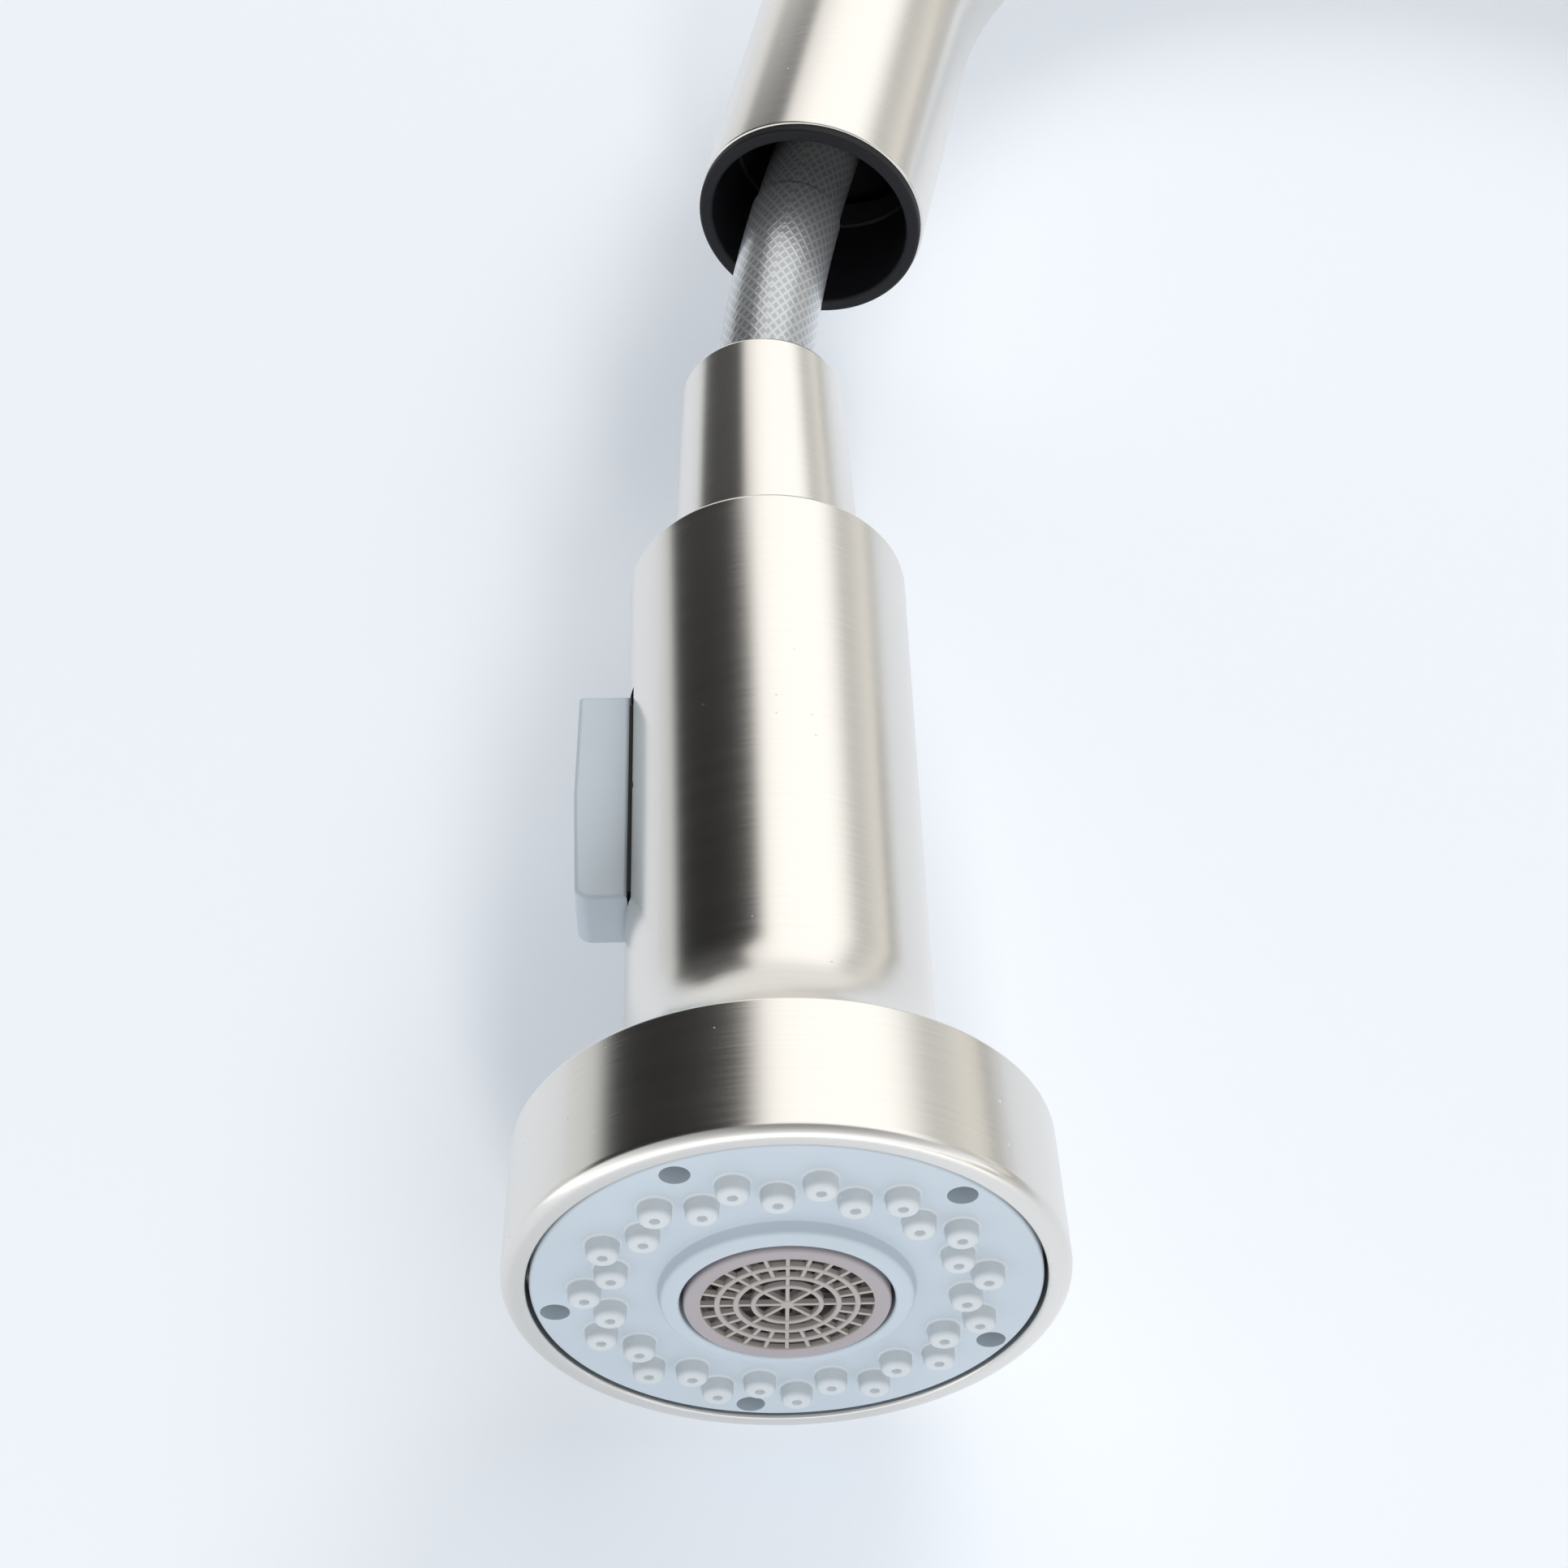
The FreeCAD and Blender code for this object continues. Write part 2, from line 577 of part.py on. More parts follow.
def head_shell():
    ring_r, grip, top = d.ring_radius, d.grip_radius, d.grip_top
    bore, chamfer, end_wall, neck_hole = grip - d.shell_wall, 0.8, 3, 10
    # The flare is the quarter of an ellipse between the ring's top and the grip.
    flare = []
    for degrees in (75, 60, 45, 30, 15, 0):
        angle = math.radians(degrees)
        flare.append((grip + d.flare_across * (1 - math.cos(angle)),
                      d.flare_top - (d.flare_top - d.ring_height) * math.sin(angle)))
    shell = turned("head_shell", [
        (d.plate_radius + d.plate_gap, 0), (d.ring_foot - 0.6, 0), (d.ring_foot, chamfer),
        (ring_r, d.ring_height - 1.1),
        (ring_r - 1, d.ring_height)] + flare + [
        (grip, top - chamfer), (grip - chamfer, top), (neck_hole, top), (neck_hole, top - end_wall),
        (bore, top - end_wall), (bore, 18.5), (18, 15), (23, 13), (d.plate_radius + d.plate_gap, 12)], HEAD)
    half = d.button_width * 0.5 + d.window_gap
    sketch = new_sketch(shell, "window_outline", "XZ_Plane")
    low, high = d.button_foot - d.window_gap, d.button_top + d.window_gap
    polygon(sketch, [(-half, low), (half, low), (half, high), (-half, high)])
    window = shell.newObject("PartDesign::Pocket", "button_window")
    window.Profile = sketch
    window.Length = 40
    window.Reversed = True
    shell.Tip = window
    node(shell)


def head_face():
    face = turned("face_plate", [
        (d.boss_bore, d.boss_face), (d.boss_face_radius, d.boss_face), (d.boss_face_radius, d.plate_face),
        (d.plate_radius, d.plate_face), (d.plate_radius, 3), (d.boss_bore, 3)], HEAD)
    count, outer_start, inner_start = 15, 8.8, 20.8
    peg_root, jet_radius = 4.6, 0.4
    key_count, key_start, key_radius, key_depth = 5, 45, 1.45, 1.8
    holes(face, "outer_openings", d.outer_nozzles, outer_start, d.nozzle_hole, -2, 8, count)
    holes(face, "inner_openings", d.inner_nozzles, inner_start, d.nozzle_hole, -2, 8, count)
    holes(face, "key_holes", d.pin_holes, key_start, key_radius, 0, key_depth, key_count)
    node(face)
    mat = ring("nozzle_mat", d.boss_bore, 24, 3.1, 5.1, HEAD)
    pegs(mat, "outer_nozzles", d.outer_nozzles, outer_start, d.nozzle_radius, d.nozzle_tip, peg_root, count)
    pegs(mat, "inner_nozzles", d.inner_nozzles, inner_start, d.nozzle_radius, d.nozzle_tip, peg_root, count)
    holes(mat, "outer_jets", d.outer_nozzles, outer_start, jet_radius, -2, 9, count)
    holes(mat, "inner_jets", d.inner_nozzles, inner_start, jet_radius, -2, 9, count)
    node(mat)
    back = ring("spray_back_plate", d.boss_bore, 24.5, 5.2, 7.2, HEAD)
    feed_circle, feed_radius = as_size(18.2), 1.4
    holes(back, "feed_holes", feed_circle, outer_start, feed_radius, 5, 3, count)
    node(back)
    seal = doc.addObject("Part::Torus", "plate_seal")
    bind(seal, Radius1=23.7, Radius2=0.8)
    place(seal, (0, d.head_y, d.face_z + 8.1))
    node(joined("plate_seal", [seal]))


def aerator_parts():
    node(ring("aerator_housing", d.aerator_bore, d.aerator_radius, d.aerator_face, 8.9, HEAD))
    centre = (0, d.head_y)
    low, high = d.face_z + d.aerator_face, d.face_z + d.aerator_face + d.grid_thick
    rings = []
    for outer, inner in ((8.7, 8.0), (6.9, 6.5), (5.1, 4.7), (3.4, 3.0), (1.2, 0.4)):
        rings.append(joined("grid_ring", [cylinder(outer, low, high, centre)],
                            [cylinder(inner, low - 1, high + 1, centre)]))

    def spokes(count, outer, inner):
        bars = []
        for index in range(count):
            bar = doc.addObject("Part::Box", "spoke")
            bind(bar, Length=outer - inner, Width=0.35, Height=high - low)
            turn = FreeCAD.Rotation(V(0, 0, 1), 360.0 * index / count)
            shift = turn.multVec(V(inner, -0.175, 0))
            place(bar, (shift.x, d.head_y + shift.y, low), turn)
            bars.append(bar)
        return bars

    node(joined("aerator_grid", rings + spokes(24, 8.2, 4.9) + spokes(8, 4.9, 1.0)))
    screen = ring("aerator_screen", 1.0, 8.7, 2, 2.8, HEAD)
    for radius, count in ((3, 8), (5, 14), (7, 20)):
        holes(screen, "mesh_%d" % radius, as_size(radius), 0, 0.6, 1, 3, count)
    node(screen)


def inner_parts():
    node(turned("waterway", [
        (3.4, 9), (22.5, 9), (22.5, 11.5), (13, 13.5), (11.5, 20), (11.5, 84), (7.9, 85.8),
        (7.9, 105), (5.2, 105), (5.2, 14), (3.4, 14)], HEAD))
    node(turned("check_valve", [
        (1.5, 88), (5.1, 88), (5.1, 103), (3.2, 103), (3.2, 90), (1.5, 90)], HEAD))
    node(ring("inlet_filter", 1.0, 7.8, 105.3, 107.8, HEAD))
    neck = [
        (8.05, 86), (9.9, 86), (9.9, d.grip_top), (d.neck_foot_radius, d.grip_top),
        (d.neck_top_radius + 0.05, d.neck_top - 0.8), (d.neck_top_radius - 0.7, d.neck_top),
        (8.9, d.neck_top), (8.9, 122.5), (8.05, 122.5)]
    node(turned("neck_sleeve", neck, HEAD))
    node(turned("diverter_spool", [
        (1.5, 24), (5.0, 24), (5.0, 28), (3.6, 28), (3.6, 52), (5.0, 52), (5.0, 56), (1.5, 56)], HEAD))
    turns, per_turn, coil_radius, rise = 3.5, 8, 4.2, 8.2
    steps = int(turns * per_turn)
    points = []
    for step in range(steps + 1):
        angle = 2 * math.pi * step / per_turn
        points.append((coil_radius * math.cos(angle), coil_radius * math.sin(angle), rise * step / steps))
    first = V(*points[1]) - V(*points[0])
    wire = Part.Wire([Part.Circle(V(*points[0]), first, 0.5).toShape()])
    spring = doc.addObject("Part::Feature", "diverter_spring")
    spring.Label = "diverter_spring"
    spring.Shape = route_wire(points).makePipeShell([wire], True, False)
    place(spring, (0, d.head_y, d.face_z + 14.8))
    node(spring)


PIVOT_DEPTH = 14.2
PIVOT_RISE = 60


def button_parts():
    half = d.button_width * 0.5
    face_z, head_y = d.face_z, d.head_y
    lug_half, lug_depth, lug_rise, pin_radius, pin_gap = 2.5, 2.0, 4, 1.2, 0.05
    cap = block((-half, head_y - d.button_front, face_z + d.button_foot),
                (half, head_y - d.button_back, face_z + d.button_top))
    lug = block((-lug_half, head_y - d.button_back - 0.1, face_z + PIVOT_RISE - lug_rise),
                (lug_half, head_y - PIVOT_DEPTH + lug_depth, face_z + PIVOT_RISE + lug_rise))
    spot = (head_y - PIVOT_DEPTH, face_z + PIVOT_RISE)
    pin_hole = cylinder(pin_radius + pin_gap, -9, 9, spot, "x")
    node(joined("spray_button", [cap, lug], [pin_hole]))
    reach = half + d.window_gap
    node(joined("button_pin", [cylinder(pin_radius, -reach, reach, spot, "x")]))


# ---- Build, check and write ----

def check_and_write():
    doc.recompute()
    for obj in doc.Objects:
        if "Invalid" in obj.State or "Error" in obj.State:
            raise SystemExit("%s (%s) failed: %s" % (obj.Name, obj.Label, obj.State))
    os.makedirs("parts", exist_ok=True)
    for old in os.listdir("parts"):
        os.remove(os.path.join("parts", old))
    for obj in NODES:
        shape = obj.Shape
        if shape.isNull() or not shape.isValid() or not shape.Solids:
            raise SystemExit("%s has no valid solid" % obj.Label)
        shape.exportStep("parts/%s.step" % obj.Label)
        box = shape.BoundBox
        print("%-20s solids %d volume %9.1f  z %7.1f %7.1f" % (
            obj.Label, len(shape.Solids), shape.Volume, box.ZMin, box.ZMax))
    print("nodes", len(NODES))


base_parts()
supply_parts()
body_parts()
valve_parts()
lever_parts()
spout_parts()
hose_parts()
swivel_parts()
head_shell()
head_face()
aerator_parts()
inner_parts()
button_parts()
check_and_write()
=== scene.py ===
import json
import math

import bmesh
import bpy
from mathutils import Matrix, Vector

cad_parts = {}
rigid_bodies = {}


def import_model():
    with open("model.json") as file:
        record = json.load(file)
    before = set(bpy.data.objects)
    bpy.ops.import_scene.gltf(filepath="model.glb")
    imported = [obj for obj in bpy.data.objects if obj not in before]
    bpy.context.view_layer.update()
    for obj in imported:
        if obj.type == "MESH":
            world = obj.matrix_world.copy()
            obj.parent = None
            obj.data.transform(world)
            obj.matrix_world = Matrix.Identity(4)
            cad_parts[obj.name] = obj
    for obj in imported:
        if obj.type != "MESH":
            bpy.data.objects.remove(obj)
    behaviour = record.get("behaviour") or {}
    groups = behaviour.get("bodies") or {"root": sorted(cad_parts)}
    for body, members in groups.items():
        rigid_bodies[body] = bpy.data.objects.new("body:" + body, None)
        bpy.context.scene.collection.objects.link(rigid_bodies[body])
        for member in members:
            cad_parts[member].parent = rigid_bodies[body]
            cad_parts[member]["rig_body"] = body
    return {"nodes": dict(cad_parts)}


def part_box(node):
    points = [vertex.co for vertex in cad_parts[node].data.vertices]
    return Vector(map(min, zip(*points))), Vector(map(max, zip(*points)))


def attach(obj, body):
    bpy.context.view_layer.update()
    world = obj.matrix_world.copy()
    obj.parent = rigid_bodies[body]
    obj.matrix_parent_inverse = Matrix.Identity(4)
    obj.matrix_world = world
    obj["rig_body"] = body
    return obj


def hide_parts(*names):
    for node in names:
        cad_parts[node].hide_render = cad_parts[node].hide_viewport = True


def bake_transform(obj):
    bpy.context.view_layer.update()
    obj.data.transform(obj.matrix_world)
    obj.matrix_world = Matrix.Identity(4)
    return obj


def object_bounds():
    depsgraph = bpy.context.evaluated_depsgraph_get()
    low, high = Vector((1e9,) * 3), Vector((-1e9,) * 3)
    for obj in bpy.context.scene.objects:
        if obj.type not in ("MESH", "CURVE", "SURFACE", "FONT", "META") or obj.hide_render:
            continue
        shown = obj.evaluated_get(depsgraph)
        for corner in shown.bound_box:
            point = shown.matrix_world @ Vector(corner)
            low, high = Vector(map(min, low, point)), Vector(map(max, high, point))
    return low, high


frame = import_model()
cad_low, cad_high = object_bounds()
nodes = frame["nodes"]

# A pull-down kitchen faucet with its spray head drawn out. Outlines are in millimetres, and everything
# placed in the scene is in metres.

MM = 0.001
TURN = 2 * math.pi

# Driving sizes of the spout, in millimetres, as the part has them.
ARC_RADIUS = 95.0
ARC_HEIGHT = 305.0
OUTLET_TILT = math.radians(12)
STRAIGHT_END = 40.0
TUBE_RADIUS = 15.1
TUBE_WALL = 1.0
LIP_HEIGHT = 1.4


def middle(name):
    low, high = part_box(name)
    return (low + high) / 2


shell_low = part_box("head_shell")[0]
HEAD = Vector((0, middle("face_plate").y, shell_low.z))
AT_HEAD = Matrix.Translation(HEAD)
outlet_y = -ARC_RADIUS * (1 + math.cos(OUTLET_TILT)) - STRAIGHT_END * math.sin(OUTLET_TILT)
outlet_z = ARC_HEIGHT + ARC_RADIUS * math.sin(OUTLET_TILT) - STRAIGHT_END * math.cos(OUTLET_TILT)
OUTLET = Vector((0, outlet_y, outlet_z)) * MM
AT_OUTLET = Matrix.Translation(OUTLET) @ Matrix.Rotation(-OUTLET_TILT, 4, "X")


# ---- Materials ----

class Graph:
    """Short ways to add nodes to a node tree."""

    def __init__(self, tree):
        self.tree = tree

    def feed(self, item, key, value):
        if isinstance(value, bpy.types.NodeSocket):
            self.tree.links.new(value, item.inputs[key])
        else:
            item.inputs[key].default_value = value

    def node(self, kind, inputs=(), **settings):
        item = self.tree.nodes.new("ShaderNode" + kind)
        for key, value in settings.items():
            setattr(item, key, value)
        for key, value in dict(inputs).items():
            self.feed(item, key, value)
        return item

    def maths(self, operation, first, second=0.0):
        return self.node("Math", {0: first, 1: second}, operation=operation).outputs[0]

    def between(self, value, low, high):
        """Spreads 0 to 1 over low to high."""
        item = self.node("MapRange", {"Value": value, "To Min": low, "To Max": high})
        return item.outputs["Result"]

    def step(self, value, start, end):
        """Rises smoothly from 0 at start to 1 at end."""
        item = self.node("MapRange", {"Value": value, "From Min": start, "From Max": end})
        item.interpolation_type = "SMOOTHSTEP"
        return item.outputs["Result"]

    def ramp(self, value, stops):
        """Maps a value through (position, grey or colour) stops."""
        item = self.node("ValToRGB", {"Fac": value})
        elements = item.color_ramp.elements
        while len(elements) < len(stops):
            elements.new(1.0)
        for element, (position, colour) in zip(elements, stops):
            element.position = position
            element.color = (*colour, 1) if hasattr(colour, "__len__") else (colour,) * 3 + (1,)
        return item.outputs["Color"]

    def mixed(self, factor, first, second):
        item = self.node("Mix", {0: factor, 6: first, 7: second}, data_type="RGBA")
        return item.outputs[2]


class Surface(Graph):
    """A Principled material, and the places and patterns it uses."""

    def __init__(self, name, colour, roughness, metallic=0.0, **sockets):
        self.material = bpy.data.materials.new(name)
        self.material.use_nodes = True
        super().__init__(self.material.node_tree)
        self.shader = self.tree.nodes["Principled BSDF"]
        self.feed(self.shader, "Base Color", (*colour, 1))
        self.feed(self.shader, "Roughness", roughness)
        self.feed(self.shader, "Metallic", metallic)
        for key, value in sockets.items():
            self.feed(self.shader, key.replace("_", " "), value)

    def grain(self):
        """The place on a turned piece: its x and y, and the length along its outline."""
        return self.node("Attribute", attribute_name="grain").outputs["Vector"]

    def spot(self):
        return self.node("TexCoord").outputs["Object"]

    def stretched(self, vector, factors):
        item = self.node("VectorMath", {0: vector, 1: factors}, operation="MULTIPLY")
        return item.outputs[0]

    def noise(self, vector, scale=1.0, detail=2.0, rough=0.5):
        inputs = {"Vector": vector, "Scale": scale, "Detail": detail, "Roughness": rough}
        return self.node("TexNoise", inputs).outputs["Fac"]

    def bump(self, height, distance, strength):
        inputs = {"Height": height, "Distance": distance, "Strength": strength}
        return self.node("Bump", inputs).outputs["Normal"]

    def blend(self, first, second, share):
        """A share of the first value, and the rest of the second."""
        rest = self.maths("MULTIPLY", second, 1 - share)
        return self.maths("ADD", self.maths("MULTIPLY", first, share), rest)

    def tinted(self, pattern, colour, dark):
        """A colour, down to a darker share of itself where the pattern is low."""
        return self.ramp(pattern, [(0.3, [channel * dark for channel in colour]), (0.7, colour)])


TOOL_LINE_DEPTH = 0.00003
SPECK_COLOUR = (0.85, 0.84, 0.82, 1)


def speckled(look, place):
    """1 on the few small pale specks, which come in patches, and 0 between them."""
    cells_per_metre, speck_size, patch_above, kind_above = 420.0, 0.055, 0.56, 0.45
    cells = look.node("TexVoronoi", {"Vector": place, "Scale": cells_per_metre})
    where = look.noise(place, scale=34, detail=1)
    small = look.maths("LESS_THAN", cells.outputs["Distance"], speck_size)
    some = look.maths("GREATER_THAN", where, patch_above)
    kind = look.node("SeparateColor", {0: cells.outputs["Color"]}).outputs[0]
    rare = look.maths("GREATER_THAN", kind, kind_above)
    return look.maths("MULTIPLY", look.maths("MULTIPLY", small, some), rare)


def brushed_metal(name, colour, own_grain):
    """Brushed nickel: fine lines round the piece, with a few pale specks."""
    look = Surface(name, colour, 0.22, metallic=1.0)
    place = look.grain() if own_grain else look.spot()
    fine = look.noise(look.stretched(place, (90, 90, 9000)), detail=3)
    coarse = look.noise(look.stretched(place, (45, 45, 2600)), detail=2)
    lines = look.blend(fine, coarse, 0.6)
    patches = look.noise(place, scale=40, detail=2)
    gloss = look.blend(lines, patches, 0.8)
    look.feed(look.shader, "Roughness", look.between(gloss, 0.16, 0.29))
    specks = speckled(look, place)
    look.feed(look.shader, "Metallic", look.maths("SUBTRACT", 1.0, specks))
    look.feed(look.shader, "Base Color", look.mixed(specks, look.tinted(lines, colour, 0.95), SPECK_COLOUR))
    look.feed(look.shader, "Normal", look.bump(lines, TOOL_LINE_DEPTH, 0.11))
    return look.material


MOULD_GRAIN_DEPTH = 0.00001


def moulded(name, colour, roughness, **sockets):
    """Satin moulded plastic: slightly uneven colour and a fine moulded texture."""
    look = Surface(name, colour, roughness, **sockets)
    place = look.spot()
    cloud = look.noise(place, scale=70, detail=3)
    look.feed(look.shader, "Base Color", look.tinted(cloud, colour, 0.95))
    fine = look.noise(place, scale=5200, detail=2)
    look.feed(look.shader, "Roughness", look.between(fine, roughness - 0.05, roughness + 0.07))
    look.feed(look.shader, "Normal", look.bump(fine, MOULD_GRAIN_DEPTH, 0.35))
    return look.material


def turned_metal(name, colour, roughness=0.25):
    """Machined metal with faint tool lines."""
    look = Surface(name, colour, roughness, metallic=1.0)
    place = look.spot()
    lines = look.noise(look.stretched(place, (60, 60, 4200)), detail=2)
    cloud = look.noise(place, scale=120, detail=3)
    look.feed(look.shader, "Roughness", look.between(cloud, roughness - 0.07, roughness + 0.12))
    look.feed(look.shader, "Base Color", look.tinted(lines, colour, 0.88))
    look.feed(look.shader, "Normal", look.bump(lines, TOOL_LINE_DEPTH, 0.2))
    return look.material


STRANDS = 30.0
STRAND_PITCH = 0.0020
BRAID_TONES = [(0.0, (0.40, 0.415, 0.43)), (0.5, (0.50, 0.52, 0.535)), (1.0, (0.58, 0.60, 0.615))]


def braided(name, by_height, painted_outlet_shade=False):
    """A steel braid under clear plastic: strands cross at a slant, and inside the outlet painted shade turns
    it near-black and dull.
    """
    metallic, coat = 0.7, 0.7
    look = Surface(name, (0.5, 0.5, 0.5), 0.3, metallic=metallic, Coat_Weight=coat, Coat_Roughness=0.1)
    kept_place = look.node("Attribute", attribute_name="around").outputs["Vector"]
    around = look.node("SeparateXYZ", {0: kept_place})
    along = around.outputs["Y"]
    if by_height:
        along = look.node("SeparateXYZ", {0: look.spot()}).outputs["Z"]
    strands = look.maths("MULTIPLY", around.outputs["X"], STRANDS)
    rise = look.maths("MULTIPLY", along, TURN / STRAND_PITCH)
    left = look.maths("SINE", look.maths("ADD", strands, rise))
    right = look.maths("SINE", look.maths("SUBTRACT", strands, rise))
    height = look.between(look.maths("MAXIMUM", left, right), 0.0, 1.0)
    tone = look.ramp(height, BRAID_TONES)
    if painted_outlet_shade:
        # Painted shade: above the outlet's mouth, where little light gets in, the braid fades to near-black
        # and loses its metal and coat.
        dark = look.step(along, OUTLET.z + 0.004, OUTLET.z + 0.016)
        tone = look.mixed(dark, tone, (0.03, 0.03, 0.03, 1))
        unshaded_share = look.maths("SUBTRACT", 1.0, dark)
        look.feed(look.shader, "Metallic", look.maths("MULTIPLY", unshaded_share, metallic))
        look.feed(look.shader, "Coat Weight", look.maths("MULTIPLY", unshaded_share, coat))
    look.feed(look.shader, "Base Color", tone)
    look.feed(look.shader, "Normal", look.bump(height, 0.00015, 0.16))
    return look.material


def painted_shade_bore(name):
    """The bore of the spout, painted near-black as shade, since no light reaches it."""
    look = Surface(name, (0.02, 0.02, 0.02), 0.7, Specular_IOR_Level=0.2)
    cloud = look.noise(look.spot(), scale=90, detail=2)
    look.feed(look.shader, "Base Color", look.ramp(cloud, [(0.3, 0.012), (0.7, 0.022)]))
    return look.material


NICKEL = (0.80, 0.775, 0.735)
looks = {
    "nickel": brushed_metal("brushed_nickel", NICKEL, own_grain=True),
    "nickel_upright": brushed_metal("brushed_nickel_upright", NICKEL, own_grain=False),
    "spray_grey": moulded("spray_face_grey", (0.50, 0.57, 0.63), 0.42),
    "nozzle_rubber": moulded("nozzle_rubber", (0.59, 0.63, 0.655), 0.5),
    "aerator_grey": moulded("aerator_mauve_grey", (0.37, 0.34, 0.355), 0.38),
    "grid_grey": moulded("aerator_grid_grey", (0.40, 0.37, 0.35), 0.4),
    # The aerator's steel screen is painted near-black as the shade in its recess.
    "screen_painted_shade": moulded("aerator_screen_painted_shade", (0.10, 0.095, 0.09), 0.6),
    "button_grey": moulded("button_grey", (0.66, 0.745, 0.815), 0.38),
    "black_plastic": moulded("black_plastic", (0.008, 0.008, 0.01), 0.55, Specular_IOR_Level=0.3),
    "bore": painted_shade_bore("spout_bore_painted_shade"),
    "white_plastic": moulded("white_plastic", (0.75, 0.75, 0.73), 0.42),
    "hose_braid": braided("hose_braid", by_height=True),
    "outlet_braid_painted_shade": braided("outlet_braid_painted_shade", by_height=True, painted_outlet_shade=True),
    "loop_braid": braided("loop_braid", by_height=False),
    "brass": turned_metal("brass", (0.75, 0.58, 0.30)),
    "copper": turned_metal("copper", (0.76, 0.43, 0.29)),
    "stainless": turned_metal("stainless", (0.66, 0.65, 0.64), 0.3),
    "black_rubber": moulded("black_rubber", (0.02, 0.02, 0.022), 0.6),
    "ceramic": moulded("ceramic", (0.82, 0.81, 0.78), 0.2),
    "weight_grey": moulded("weight_grey", (0.14, 0.145, 0.15), 0.5),
}


# ---- Shapes ----

def rounded(outline, steps=5):
    """A closed outline's points, each corner (across, up, round) rounded by its own radius."""
    points = []
    count = len(outline)
    for index, corner in enumerate(outline):
        here = Vector(corner[:2])
        size = corner[2] if len(corner) > 2 else 0
        if not size:
            points.append(here)
            continue
        before = (Vector(outline[index - 1][:2]) - here).normalized()
        after = (Vector(outline[(index + 1) % count][:2]) - here).normalized()
        half = before.angle(after) / 2
        centre = here + (before + after).normalized() * size / math.sin(half)
        first = here + before * size / math.tan(half) - centre
        last = here + after * size / math.tan(half) - centre
        sweep = math.atan2(first.cross(last), first.dot(last))
        for step in range(steps + 1):
            points.append(centre + Matrix.Rotation(sweep * step / steps, 2) @ first)
    return points


def divided(points, longest):
    """Adds points so that no run of a closed outline is longer than a length."""
    out = []
    for index, here in enumerate(points):
        after = points[(index + 1) % len(points)]
        parts = max(1, math.ceil((after - here).length / longest))
        out += [here.lerp(after, part / parts) for part in range(parts)]
    return out


def straight(up):
    """The line of a plain turned piece: its own Z."""
    return Vector((0, 0, up)), Vector((1, 0, 0)), Vector((0, 1, 0))


def finish_mesh(piece, material, crease=35):
    mesh = piece.data
    mesh.materials.clear()
    mesh.materials.append(material)
    mesh.shade_smooth()
    mesh.set_sharp_from_angle(angle=math.radians(crease))
    even = piece.modifiers.new("even_shading", "WEIGHTED_NORMAL")
    even.keep_sharp = True
    return piece


def new_piece(name, bm, material, crease=35):
    mesh = bpy.data.meshes.new(name)
    bm.to_mesh(mesh)
    bm.free()
    piece = bpy.data.objects.new(name, mesh)
    bpy.context.scene.collection.objects.link(piece)
    return finish_mesh(piece, material, crease)


def spin_into(bm, points, place, line=straight, segments=128):
    """Adds an outline of (radius, height) in millimetres, spun about a line, as a closed skin."""
    layers = bm.verts.layers.float_vector
    grain = layers.get("grain") or layers.new("grain")
    around = layers.get("around") or layers.new("around")
    rows = []
    length = 0.0
    for index, point in enumerate(points):
        if index:
            length += (point - points[index - 1]).length
        centre, across, side = line(point.y)
        row = []
        turns = segments if point.x > 1e-6 else 1
        for step in range(turns):
            angle = TURN * step / segments
            out = across * math.cos(angle) + side * math.sin(angle)
            vert = bm.verts.new(place @ ((centre + out * point.x) * MM))
            vert[grain] = Vector((math.cos(angle) * point.x, math.sin(angle) * point.x, length)) * MM
            vert[around] = Vector((angle if angle <= math.pi else TURN - angle, point.y * MM, 0))
            row.append(vert)
        rows.append(row)
    made = []
    for index, row in enumerate(rows):
        after = rows[(index + 1) % len(rows)]
        if len(row) == 1 and len(after) == 1:
            continue
        for step in range(segments):
            nxt = (step + 1) % segments
            corners = [row[step % len(row)], row[nxt % len(row)]]
            corners += [after[nxt % len(after)], after[step % len(after)]]
            made.append(bm.faces.new(list(dict.fromkeys(corners))))
    bmesh.ops.recalc_face_normals(bm, faces=made)


def turned(name, outline, place, look, line=straight, segments=128, longest=None, steps=5):
    bm = bmesh.new()
    points = rounded(outline, steps)
    if longest:
        points = divided(points, longest)
    spin_into(bm, points, place, line, segments)
    return new_piece(name, bm, looks[look])


def side_profile(name, outline, half_width, place, look, edge, steps=6):
    """A closed outline of (y, z) spread along x, with the edges of its two sides rounded."""
    bm = bmesh.new()
    ring = [bm.verts.new(place @ (Vector((-half_width, p.x, p.y)) * MM)) for p in rounded(outline, steps)]
    face = bm.faces.new(ring)
    grown = bmesh.ops.extrude_face_region(bm, geom=[face])
    moved = [item for item in grown["geom"] if isinstance(item, bmesh.types.BMVert)]
    bmesh.ops.translate(bm, verts=moved, vec=(2 * half_width * MM, 0, 0))
    rims = [e for e in bm.edges if abs(e.verts[0].co.x - e.verts[1].co.x) < 1e-9]
    bmesh.ops.bevel(bm, geom=rims, offset=edge * MM, segments=4, profile=0.5, affect="EDGES",
                    clamp_overlap=True)
    bmesh.ops.recalc_face_normals(bm, faces=bm.faces)
    return new_piece(name, bm, looks[look], crease=40)


